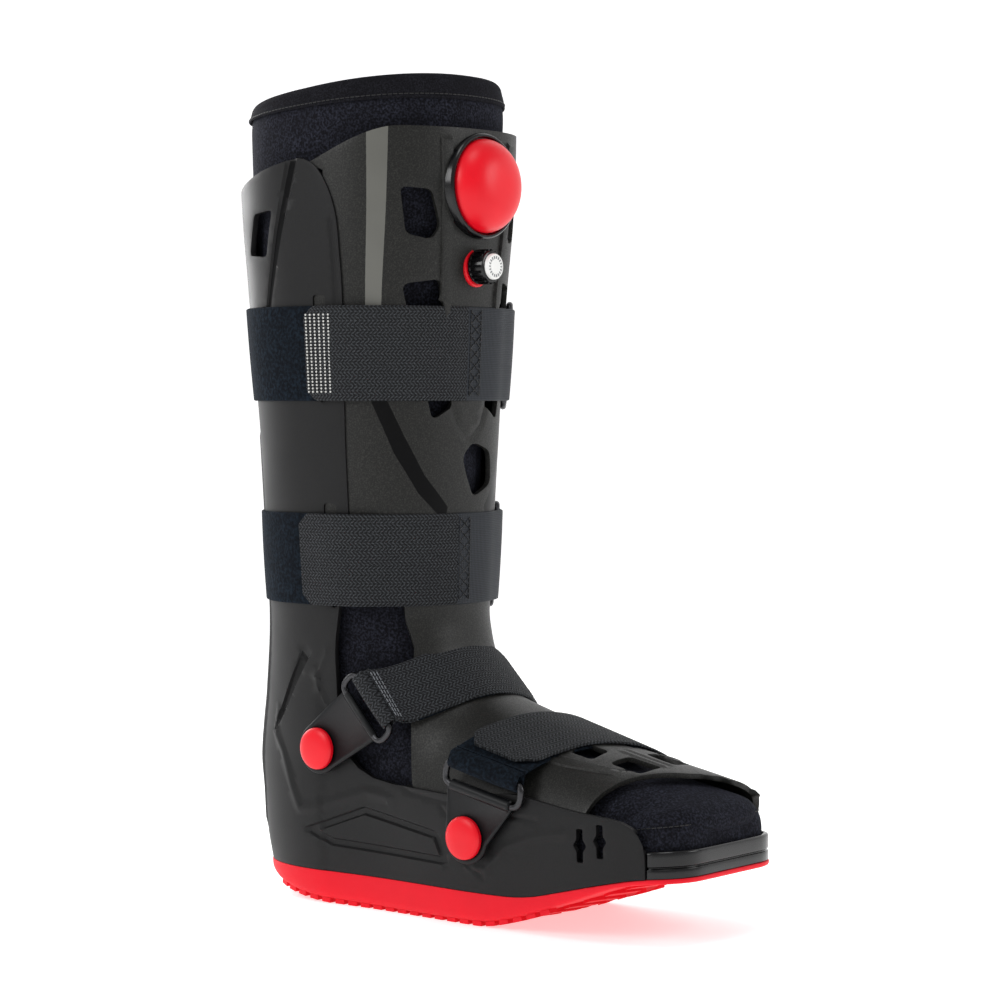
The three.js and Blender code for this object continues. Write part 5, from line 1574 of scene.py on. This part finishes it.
ANKLE_SPAN = 2 * shell_half(0.281 * LEG_HEIGHT)
ANKLE_ROUTE = (
    # across as a share of the span, topX, topZ, bottomX, bottomZ of length and height
    (-0.5201, 0.336, 0.3105, 0.409, 0.2515),
    (-0.4449, 0.366, 0.314, 0.431, 0.25),
    (-0.3072, 0.403, 0.327, 0.474, 0.265),
    (-0.1271, 0.4155, 0.341, 0.505, 0.278),
    (0.0636, 0.421, 0.341, 0.512, 0.2757),
    (0.2542, 0.417, 0.327, 0.504, 0.264),
    (0.4237, 0.394, 0.3065, 0.47, 0.245),
    (0.5201, 0.356, 0.2925, 0.428, 0.2345),
)
FOREFOOT_ROUTE = (
    (-0.527, 0.5545, 0.2195, 0.7025, 0.196),
    (-0.45, 0.558, 0.231, 0.7025, 0.205),
    (-0.29, 0.574, 0.2465, 0.711, 0.2165),
    (-0.08, 0.597, 0.2565, 0.736, 0.2255),
    (0.15, 0.613, 0.25, 0.764, 0.219),
    (0.32, 0.627, 0.232, 0.782, 0.201),
    (0.45, 0.637, 0.208, 0.7905, 0.1765),
    (0.527, 0.641, 0.19, 0.7905, 0.163),
)
FOOT_STRAPS = (
    # name, route, span, width, length of the tab, shift of the rivet
    ("ankle", ANKLE_ROUTE, ANKLE_SPAN, 31.0, 30.0, -4.3),
    ("forefoot", FOREFOOT_ROUTE, FOOT_WIDTH, 41.0, 20.0, -4.2),
)
FOOT_THICK = 1.5
# Where a foot strap's upper layer begins, as a share of its route, and its corner cut.
FOOT_TIPS = {"ankle": (0.035, 0.0), "forefoot": (0.13, 8.0)}


def route_pair(route, span, share, offset):
    """Upper and lower point of a foot strap at a share of its route, held out from it."""
    stops = list(range(len(route)))

    def edge(at, column):
        where = at * stops[-1]
        x = follow(stops, [row[column] * FOOT_LENGTH for row in route])(where)
        y = follow(stops, [row[0] * span for row in route])(where)
        z = follow(stops, [row[column + 1] * LEG_HEIGHT for row in route])(where)
        return np.array((x, y, z))

    high, low = edge(share, 1), edge(share, 3)
    before, after = max(share - 0.01, 0), min(share + 0.01, 1)
    ahead = edge(after, 1) + edge(after, 3) - edge(before, 1) - edge(before, 3)
    away = np.cross(low - high, ahead)
    away /= np.linalg.norm(away)
    return high + away * offset, low + away * offset


def strap_end(strap, side):
    """Upper and lower corner of a foot strap's end on one side."""
    _, route, span, *_ = strap
    row = route[0] if side < 0 else route[-1]
    high = np.array((row[1] * FOOT_LENGTH, row[0] * span, row[2] * LEG_HEIGHT))
    low = np.array((row[3] * FOOT_LENGTH, row[0] * span, row[4] * LEG_HEIGHT))
    return high, low


def side_frame(strap, side):
    """Direction of a side ring's bars, direction away from the strap, middle of the
    strap's end and place of the rivet."""
    *_, tab, shift = strap
    high, low = strap_end(strap, side)
    bar = (low - high) / np.linalg.norm(low - high)
    away = np.array((bar[2], 0, -bar[0]))
    end = (high + low) / 2
    rivet = end + away * (RING_DEPTH + 2 * WRAP_GAP + tab) + bar * shift
    return bar, away, end, rivet


# Middle of a side ring's bar from the strap's end, and radius of the loop round it.
BAR_FROM_END, LOOP_RADIUS = 2.5, 2.0


def loop_rows(strap, side):
    """Rows of a strap's loop round the bar of a side ring, from over it to under it."""
    high, low = strap_end(strap, side)
    _, away, *_ = side_frame(strap, side)
    out = np.array((0, float(side), 0))
    rows = []
    for step in range(10):
        angle = math.radians(90 - 180 * step / 9)
        run = BAR_FROM_END + LOOP_RADIUS * math.cos(angle)
        move = away * run + out * LOOP_RADIUS * math.sin(angle)
        rows.append((high + move, low + move))
    for run in (1.5, 3.0, 5.0, 7.0):
        move = away * (BAR_FROM_END - run) - out * LOOP_RADIUS
        rows.append((high + move, low + move))
    return rows


def make_foot_base(strap):
    """Lower layer of a foot strap, looped round the ring of the seen side."""
    name, route, span, *_ = strap
    rows = []
    for share in np.linspace(1, 0, 46):
        near = smooth_step(0.1 - share, 0, 0.1)
        rows.append(route_pair(route, span, share, LOOP_RADIUS * near))
    rows += loop_rows(strap, -1)
    # The ankle strap's end is woven, the forefoot strap is velour all along.
    woven = 0.62 if name == "ankle" else 2.0
    looks = [LOOKS["velour"], LOOKS["tape"]]
    return band(
        name + "_base", rows, looks, thick=FOOT_THICK, look_of=lambda at: int(at > woven), puff=0.4
    )


def make_foot_tab(strap):
    """Upper layer of a foot strap, looped round the ring of the far side."""
    name, route, span, *_ = strap
    tip, cut = FOOT_TIPS[name]
    shares = [*np.linspace(tip, tip + 0.05, 8), *np.linspace(tip + 0.07, 1, 44)]
    rows = []
    for share in shares:
        rows.append(route_pair(route, span, share, 2.1 + 0.8 * smooth_step(tip + 0.2 - share, 0, 0.2)))
    rows += loop_rows(strap, 1)
    flipped = [(low, high) for high, low in rows]
    return band(name + "_tape", flipped, [LOOKS["tape"]], thick=FOOT_THICK, cuts=(cut, 0.0), puff=0.3)


def foot_line(strap, offset, corners):
    """Line on a foot strap through shares along and across it."""
    _, route, span, *_ = strap
    line, facing = [], []
    for along, across in even([(a * 100, b * 100) for a, b in corners], 4.0, closed=False):
        high, low = route_pair(route, span, along / 100, offset)
        base = route_pair(route, span, along / 100, 0)[0]
        line.append(high + (low - high) * across / 100)
        facing.append(high - base)
    return line, facing


TAB_RADIUS = 12.9
# Edge and raised border of a side tab: inset and height.
TAB_EDGE = ((0.5, -1.2), (0.0, -0.7), (0.0, 0.8), (0.5, 1.3), (2.2, 1.3), (2.8, 0.8))


def make_tab(strap, side, name):
    """Moulded tab from a side ring to its rivet, with a raised border and a sleeve."""
    bar, away, end, rivet = side_frame(strap, side)
    width = strap[3]
    edge = end + away * (RING_DEPTH + 2 * WRAP_GAP - 2.0)
    heading = math.atan2(bar[2], bar[0])
    outline = [edge - bar * (width / 2)]
    for step in range(25):
        turn = heading - math.pi + math.pi * step / 24
        outline.append(rivet + TAB_RADIUS * np.array((math.cos(turn), 0, math.sin(turn))))
    outline.append(edge + bar * (width / 2))
    count = len(outline)
    centre = np.mean(outline, axis=0)
    out = np.array((0, float(side), 0))
    rings = []
    for inset, lift in TAB_EDGE:
        ring = []
        for i, p in enumerate(outline):
            ahead = outline[(i + 1) % count] - outline[i - 1]
            inward = np.cross(ahead / max(np.linalg.norm(ahead), 1e-9), np.array((0, 1.0, 0)))
            inward *= 1 if np.dot(inward, centre - p) > 0 else -1
            ring.append(p + inward * inset + out * lift)
        rings.append(ring)
    plate = loft(name, rings, [LOOKS["tab"]])
    middle = end + away * (WRAP_GAP + RING_DEPTH - RING_WIRE / 2)
    top = width / 2 - 2
    sleeve_line = [(0, -top), (2.4, -top), (3.0, 0.6 - top), (3.0, top - 0.6), (2.4, top), (0, top)]
    sleeve = turned(name + "_sleeve", sleeve_line, [LOOKS["tab"]], middle, bar, 20)
    return plate, sleeve


def turned(name, profile, looks, place, aim, steps=48, seat=None):
    """Body turned round an axis from radii and heights. A height of None lies on the seat."""
    aim = np.array(aim, float) / np.linalg.norm(aim)
    first = np.array((0, 0, 1.0)) if abs(aim[2]) < 0.9 else np.array((1.0, 0, 0))
    first = np.cross(aim, np.cross(first, aim))
    second = np.cross(aim, first)
    rings = []
    for radius, height in profile:
        ring = []
        for i in range(steps):
            turn = 2 * math.pi * i / steps
            spot = np.array(place) + (first * math.cos(turn) + second * math.sin(turn)) * radius
            ring.append(seat(spot) if height is None else spot + aim * height)
        rings.append(ring)
    piece = loft(name, rings, looks, close_ends=False)
    face_out(piece, 0.001)
    piece.data.set_sharp_from_angle(angle=math.radians(35))
    return piece


def on_panel(spot):
    """The same place moved along X onto the panel's outside."""
    half, long = shell_half(spot[2]) - PANEL_SEAT, panel_front(spot[2]) - LEG_CENTRE
    reach = max(1 - (abs(spot[1]) / half) ** SHELL_POWER, 0.0) ** (1 / SHELL_POWER)
    return np.array((LEG_CENTRE + long * reach + 0.1, spot[1], spot[2]))


def dome(radius, foot, rise, power, steps):
    """Radii and heights of a flat dome from its foot to its top. A power under 1 keeps
    its shoulder full."""
    line = []
    for step in range(1, steps):
        turn = math.pi / 2 * step / steps
        line.append((radius * math.cos(turn) ** power, foot + rise * math.sin(turn)))
    return line + [(0, foot + rise)]


def make_rivet(strap, side, name):
    """Domed cap of a side rivet with its shank."""
    *_, rivet = side_frame(strap, side)
    head, radius = 1.5, 10.5
    profile = [(0, -6.0), (4.0, -6.0), (4.0, head), (radius - 0.4, head), (radius, head + 0.4)]
    profile += [(radius, head + 1.6), *dome(radius, head + 1.6, 2.6, 0.7, 12)]
    return turned(name, profile, [LOOKS["button"]], rivet, (0, side, 0), 40)


FORWARD = (1, 0, 0)


def make_pump():
    """Bezel and bulb of the air pump."""
    place = (panel_front(PUMP_HEIGHT), 0, PUMP_HEIGHT)
    bezel_line = [
        (24.0, None), (26.4, None), (26.5, 3.4), (26.1, 4.4), (25.4, 4.9),
        (24.6, 4.9), (24.1, 4.4), (23.9, 3.6), (23.9, 0.5), (24.0, None),
    ]
    bezel = turned("pump_collar", bezel_line, [LOOKS["gloss"]], place, FORWARD, 72, seat=on_panel)
    bulb_line = [(0, None), (23.4, None), (23.5, 3.0), *dome(23.5, 3.0, 14.0, 0.72, 24)]
    bulb = turned("pump_dome", bulb_line, [LOOKS["button"]], place, FORWARD, 72, seat=on_panel)
    return bezel, bulb


VALVE_MARKS = 18


def make_valve():
    """Seat, knob and cap of the air valve, and the places of the knob's ribs and ticks."""
    place = (panel_front(VALVE_HEIGHT), 0, VALVE_HEIGHT)
    seat_line = [(0, None), (10, None), (10, 2.6), (9.4, 3.4), (0, 3.4)]
    seat = turned("valve_base", seat_line, [LOOKS["button"]], place, FORWARD, 40, seat=on_panel)
    knob_at = (place[0] + 3.8, 0, VALVE_HEIGHT)
    knob_line = [
        (0, 0), (8.6, 0), (8.6, 0.8), (8.1, 1.2),
        (8.1, 7.8), (7.7, 8.7), (6.9, 9.0), (0, 9.0),
    ]
    knob = turned("valve_grip", knob_line, [LOOKS["gloss"]], knob_at, FORWARD, 48)
    cap_at = (knob_at[0] + 9.1, 0, VALVE_HEIGHT)
    cap_line = [
        (0, 0), (6.5, 0), (6.5, 1.1), (6.1, 1.7), (5.4, 1.9),
        (5.2, 1.6), (3.9, 1.6), (3.7, 1.9), (0, 1.9),
    ]
    cap = turned("valve_face", cap_line, [LOOKS["cap"]], cap_at, FORWARD, 40)
    ribs, ticks = [], []
    for places, start, radius, ahead in ((ribs, knob_at, 8.2, 4.5), (ticks, cap_at, 4.55, 1.55)):
        for i in range(VALVE_MARKS):
            turn = 2 * math.pi * i / VALVE_MARKS
            out = np.array((0, math.cos(turn), math.sin(turn)))
            spot = np.array(start) + out * radius + np.array((ahead, 0, 0))
            places.append((tuple(spot), aim_turn(FORWARD, out), (1, 1, 1)))
    return seat, knob, cap, ribs, ticks


class BOOT_OT_looks(bpy.types.Operator):
    """Makes the boot's materials from its colours"""

    bl_idname = "boot.looks"
    bl_label = "Materials"

    def execute(self, context):
        c = context.scene.boot_colours
        LOOKS.update(
            shell=moulded_nylon("matt_moulded_nylon", tuple(c.shell), 0.5, 0.9, 1.5),
            panel=speckled_nylon("satin_grained_nylon", tuple(c.panel), linear("2c2c29"), 0.46),
            # Painted highlight: grey standing in for light reflected by the panel's black bevel strips.
            facet=polished_facet("polished_nylon_facet", tuple(c.facet), 0.3),
            # Painted shade: near black for bevels turned from the light and for the shell's sunken groove
            # grounds.
            black_facet=polished_facet("polished_black_facet", linear("050506"), 0.3, 0.1),
            lining=brushed_pile("brushed_liner_pile", tuple(c.lining), linear("30323d"), 1.1, 0.25),
            binding=brushed_pile("knitted_binding", linear("101013"), linear("26262c"), 0.8, 0.2, 0.3),
            velour=brushed_pile("strap_loop_velour", tuple(c.velour), linear("1c2630"), 1.6, 0.35, 0.8),
            tape=herringbone("woven_hook_tape", tuple(c.tape), linear("44474b"), 2.0, 2.3),
            webbing=ribbed_webbing("flat_ribbed_webbing", tuple(c.webbing), linear("2a2f37"), 0.9),
            sole=moulded_rubber("moulded_sole_rubber", tuple(c.sole), 0.55),
            button=moulded_rubber("satin_silicone_red", tuple(c.button), 0.36, 0.15, 0.8),
            gloss=polished_facet("polished_black_nylon", tuple(c.gloss), 0.2),
            tab=moulded_nylon("soft_moulded_tab", linear("101113"), 0.42, 0.8, 1.4),
            wire=plated_wire("black_nickel_wire", tuple(c.wire)),
            cap=moulded_rubber("white_moulded_acetal", tuple(c.cap), 0.35, 0.2, 0.6),
            thread=sewing_thread("dark_nylon_thread", linear("08080a")),
            pale_thread=sewing_thread("grey_nylon_thread", linear("6a6d72")),
            dots=moulded_rubber("printed_grip_dots", linear("c4c4c0"), 0.5),
        )
        return {"FINISHED"}


class BOOT_OT_shell(bpy.types.Operator):
    """Makes the moulded shell of tray and leg"""

    bl_idname = "boot.shell"
    bl_label = "Shell"

    def execute(self, context):
        finish_piece(make_shell(context.scene.boot_sizes), "boot", "shell_plastic", "boot_shell")
        return {"FINISHED"}


class BOOT_OT_panel(bpy.types.Operator):
    """Makes the front panel with its windows and facets"""

    bl_idname = "boot.front_panel"
    bl_label = "Front panel"

    def execute(self, context):
        finish_piece(make_panel(context.scene.boot_sizes), "boot", "panel_plastic", "front_panel")
        return {"FINISHED"}


class BOOT_OT_sole(bpy.types.Operator):
    """Makes the rocker sole with its lugs and the toe ledge"""

    bl_idname = "boot.sole"
    bl_label = "Sole and ledge"

    def execute(self, context):
        sizes = context.scene.boot_sizes
        finish_piece(make_sole(), "boot", "sole_rubber", "outsole")
        inputs = {"Lug length": 5.6 * MM, "Lug width": 6.0 * MM, "Lug height": 2.4 * MM}
        lugs = scatter("sole_lugs", sole_lugs(sizes), "block", inputs, LOOKS["sole"])
        finish_piece(lugs, "boot", "sole_rubber")
        finish_piece(make_ledge(), "boot", "gloss_plastic", "toe_ledge")
        return {"FINISHED"}


class BOOT_OT_liner(bpy.types.Operator):
    """Makes the padded liner, its binding and its seams"""

    bl_idname = "boot.liner"
    bl_label = "Liner"

    def execute(self, context):
        sizes = context.scene.boot_sizes
        pad = finish_piece(make_liner(sizes), "boot", "liner_fabric", "liner")
        toe, toe_rings = make_toe_pad()
        finish_piece(toe, "boot", "liner_fabric")
        binding = finish_piece(make_binding(), "boot", "liner_fabric")
        ring = collar_ring(11.6, LINER_SEAT + 0.05)
        middle = np.mean(ring, axis=0)
        rows = [(ring + [ring[0]], [p - middle for p in ring])]
        seam = [p for p in toe_rings[4] if p[0] > 225]
        rows.append((seam, [p - np.array((250, 0, p[2] - 8)) for p in seam]))
        finish_piece(sew("collar_stitches", rows, sizes, LOOKS["thread"]), "boot", "liner_fabric")
        return {"FINISHED"}


class BOOT_OT_leg_straps(bpy.types.Operator):
    """Makes the two leg straps with their rings, stitches and dots"""

    bl_idname = "boot.leg_straps"
    bl_label = "Leg straps"

    def execute(self, context):
        sizes = context.scene.boot_sizes
        rows = []
        for name, z, width, ring, tip, seam in LEG_STRAPS:
            base = make_leg_base(name + "_base", z, width, ring)
            finish_piece(base, "boot", "strap_velour", name + "_strap")
            tape = make_leg_tab(name + "_tape", z, width, ring, tip, seam)
            finish_piece(tape, "boot", "strap_woven", name + "_hook_tab")
            finish_piece(make_leg_ring(name + "_wire", z, width, ring), "boot", "ring_steel", name + "_ring")
            reach = width / 2 - 2.5
            for line in cross_stitch(seam - 8, seam - 0.6, -reach, reach, 7):
                rows.append(leg_line(z, 4.35, line))
        finish_piece(sew("leg_stitches", rows, sizes, LOOKS["thread"]), "boot", "strap_woven")
        _, z, width, _, tip, _ = LEG_STRAPS[0]
        places = []
        for column in range(6):
            turn = tip - 1.6 - column * 2.3
            for row in range(24):
                point = leg_place(turn, z - width / 2 + 4.5 + row * (width - 9) / 23, 4.15)
                out = point - np.array((LEG_CENTRE, 0, point[2]))
                places.append((tuple(point), aim_turn(out, (0, 0, 1)), (1, 1, 1)))
        inputs = {"Dot height": 0.4 * MM, "Dot radius": 0.5 * MM}
        finish_piece(scatter("grip_dots", places, "dot", inputs, LOOKS["dots"]), "boot", "strap_woven")
        return {"FINISHED"}


class BOOT_OT_foot_straps(bpy.types.Operator):
    """Makes ankle and forefoot straps with their rings, tabs, rivets and stitches"""

    bl_idname = "boot.foot_straps"
    bl_label = "Foot straps"

    def execute(self, context):
        sizes = context.scene.boot_sizes
        rows, dark_rows = [], []
        for strap in FOOT_STRAPS:
            name, width = strap[0], strap[3]
            base = make_foot_base(strap)
            finish_piece(base, "boot", "strap_velour", name + "_strap")
            tape = make_foot_tab(strap)
            finish_piece(tape, "boot", "strap_woven", name + "_hook_tab")
            for place, side in (("left", 1), ("right", -1)):
                bar, away, end, _ = side_frame(strap, side)
                middle = end + away * (RING_DEPTH / 2 + WRAP_GAP)
                wire = make_ring(name + "_wire_" + place, width, middle, bar, away)
                finish_piece(wire, "boot", "ring_steel", name + "_ring_" + place)
                plate, sleeve = make_tab(strap, side, name + "_plate_" + place)
                finish_piece(plate, "boot", "tab_plastic", name + "_tab_" + place)
                finish_piece(sleeve, "boot", "tab_plastic")
                cap = make_rivet(strap, side, name + "_button_" + place)
                finish_piece(cap, "boot", "rivet_plastic", name + "_rivet_" + place)
            for share in (0.05, 0.072, 0.094) if name == "ankle" else ():
                rows.append(foot_line(strap, 4.6, ((share, 0.06), (share, 0.94))))
            for line in cross_stitch(0.74, 0.82, 0.1, 0.9, 5):
                dark_rows.append(foot_line(strap, 3.75, line))
        finish_piece(sew("foot_stitches", rows, sizes, LOOKS["pale_thread"]), "boot", "strap_woven")
        finish_piece(sew("box_stitches", dark_rows, sizes, LOOKS["thread"]), "boot", "strap_woven")
        return {"FINISHED"}


class BOOT_OT_pump(bpy.types.Operator):
    """Makes the air pump and the valve"""

    bl_idname = "boot.pump"
    bl_label = "Pump and valve"

    def execute(self, context):
        bezel, bulb = make_pump()
        finish_piece(bezel, "boot", "gloss_plastic", "pump_bezel")
        finish_piece(bulb, "boot", "bulb_rubber", "pump_bulb")
        seat, knob, cap, ribs, ticks = make_valve()
        finish_piece(seat, "boot", "bulb_rubber", "valve_seat")
        finish_piece(knob, "valve", "gloss_plastic", "valve_knob")
        finish_piece(cap, "valve", "cap_plastic", "valve_cap")
        inputs = {"Rib depth": 1.2 * MM, "Rib width": 1.3 * MM, "Rib length": 6.4 * MM}
        finish_piece(scatter("grip_ribs", ribs, "block", inputs, LOOKS["gloss"]), "valve", "gloss_plastic")
        inputs = {"Tick length": 1.2 * MM, "Tick width": 0.5 * MM, "Tick height": 0.5 * MM}
        marks = scatter("cap_ticks", ticks, "block", inputs, LOOKS["pale_thread"])
        finish_piece(marks, "valve", "cap_plastic")
        return {"FINISHED"}


# The camera's turn from the side that shows toward the toe, in degrees. Then the paper in
# metres: where its bend starts behind the boot, the bend's radius and half its width.
VIEW_TURN = 41.0
BEND_START, BEND, PAPER_HALF = 1.2, 1.5, 14


class BOOT_OT_stage(bpy.types.Operator):
    """Makes the floor, the lights and the camera"""

    bl_idname = "boot.stage"
    bl_label = "Stage"

    def execute(self, context):
        scene = context.scene
        azimuth = math.radians(VIEW_TURN)
        back = Vector((math.sin(azimuth), -math.cos(azimuth), 0.0))
        right = Vector((math.cos(azimuth), math.sin(azimuth), 0.0))
        # Paper sweep: level under the boot, then up a round bend behind it.
        sweep = [(-4.0, 0.0), (BEND_START, 0.0)]
        for step in range(1, 17):
            turn = math.pi / 2 * step / 16
            sweep.append((BEND_START + BEND * math.sin(turn), BEND - BEND * math.cos(turn)))
        sweep.append((BEND_START + BEND, 5.0))
        ends = []
        for away, rise in sweep:
            for side in (-PAPER_HALF, PAPER_HALF):
                ends.append(tuple(right * side - back * away + Vector((0, 0, rise))))
        mesh = bpy.data.meshes.new("studio_floor")
        mesh.from_pydata(ends, [], [(2 * i, 2 * i + 1, 2 * i + 3, 2 * i + 2) for i in range(len(sweep) - 1)])
        mesh.shade_smooth()
        floor = bpy.data.objects.new("studio_floor", mesh)
        scene.collection.objects.link(floor)
        look, tree, shader = new_look("pale_paper_sweep", linear("f6f6f6"), 0.8)
        tint(tree, shader, grain(tree, 60.0), linear("f5f5f5"), linear("f8f8f8"))
        # The paper is lit from behind as well, so that it stays white round a dark boot.
        shader.inputs["Emission Color"].default_value = (1, 1, 1, 1)
        shader.inputs["Emission Strength"].default_value = 0.5
        mesh.materials.append(look)
        world = bpy.data.worlds.new("studio_world")
        scene.world = world
        world.use_nodes = True
        world.node_tree.nodes["Background"].inputs["Color"].default_value = (1, 1, 1, 1)
        world.node_tree.nodes["Background"].inputs["Strength"].default_value = 0.42
        scene.view_settings.view_transform = "Standard"
        middle = Vector((-0.06, 0.0, 0.2))
        lamps = (
            # azimuth from the camera's side, height, distance, size, watts
            ("soft_box_left", -55, 0.75, 1.1, 0.5, 5.0),
            ("soft_box_back_left", -140, 0.5, 0.9, 0.5, 5.0),
            ("soft_box_right", 75, 0.6, 1.0, 0.4, 2.5),
            ("soft_box_top", 10, 1.5, 0.5, 0.5, 3.0),
        )
        for name, turn, height, reach, side, power in lamps:
            lamp = bpy.data.lights.new(name, "AREA")
            lamp.shape = "SQUARE"
            lamp.size = side
            lamp.energy = power
            holder = bpy.data.objects.new(name, lamp)
            angle = math.radians(VIEW_TURN + turn)
            place = middle + Vector((math.sin(angle) * reach, -math.cos(angle) * reach, height - 0.2))
            holder.location = place
            holder.rotation_euler = (middle - place).to_track_quat("-Z", "Y").to_euler()
            scene.collection.objects.link(holder)
        lens = bpy.data.cameras.new("view_camera")
        lens.lens = 104.8
        lens.sensor_width = 36.0
        holder = bpy.data.objects.new("view_camera", lens)
        scene.collection.objects.link(holder)
        # The middle of the frame lies 120 px right of and 105 px below the level line of sight.
        focal, pan, drop = 2910.0, 120.0, 105.0
        aim = -back + right * (pan / focal) - Vector((0, 0, 1)) * (drop / focal)
        holder.location = Vector((-0.07519, 0.0004, 0.2565)) + back * 1.5
        holder.rotation_euler = aim.to_track_quat("-Z", "Y").to_euler()
        lens.clip_start, lens.clip_end = 0.05, 50.0
        scene.camera = holder
        return {"FINISHED"}


STEPS = (
    ("boot.looks", BOOT_OT_looks),
    ("boot.shell", BOOT_OT_shell),
    ("boot.front_panel", BOOT_OT_panel),
    ("boot.sole", BOOT_OT_sole),
    ("boot.liner", BOOT_OT_liner),
    ("boot.leg_straps", BOOT_OT_leg_straps),
    ("boot.foot_straps", BOOT_OT_foot_straps),
    ("boot.pump", BOOT_OT_pump),
    ("boot.stage", BOOT_OT_stage),
)


class BOOT_PT_panel(bpy.types.Panel):
    """Lists the boot's pieces and their sizes and colours"""

    bl_idname = "BOOT_PT_panel"
    bl_label = "Walking Boot"
    bl_space_type = "VIEW_3D"
    bl_region_type = "UI"
    bl_category = "Boot"

    def draw(self, context):
        for idname, _ in STEPS:
            self.layout.operator(idname)
        for group in (context.scene.boot_sizes, context.scene.boot_colours):
            for name in group.__annotations__:
                self.layout.prop(group, name)


CLASSES = (BootSizes, BootColours, *(step for _, step in STEPS), BOOT_PT_panel)


def register():
    for kind in CLASSES:
        bpy.utils.register_class(kind)
    bpy.types.Scene.boot_sizes = PointerProperty(type=BootSizes)
    bpy.types.Scene.boot_colours = PointerProperty(type=BootColours)


def unregister():
    del bpy.types.Scene.boot_colours
    del bpy.types.Scene.boot_sizes
    for kind in reversed(CLASSES):
        bpy.utils.unregister_class(kind)


def main():
    """Makes every piece in turn."""
    register()
    for idname, _ in STEPS:
        group, name = idname.split(".")
        getattr(getattr(bpy.ops, group), name)()


if __name__ == "__main__":
    main()
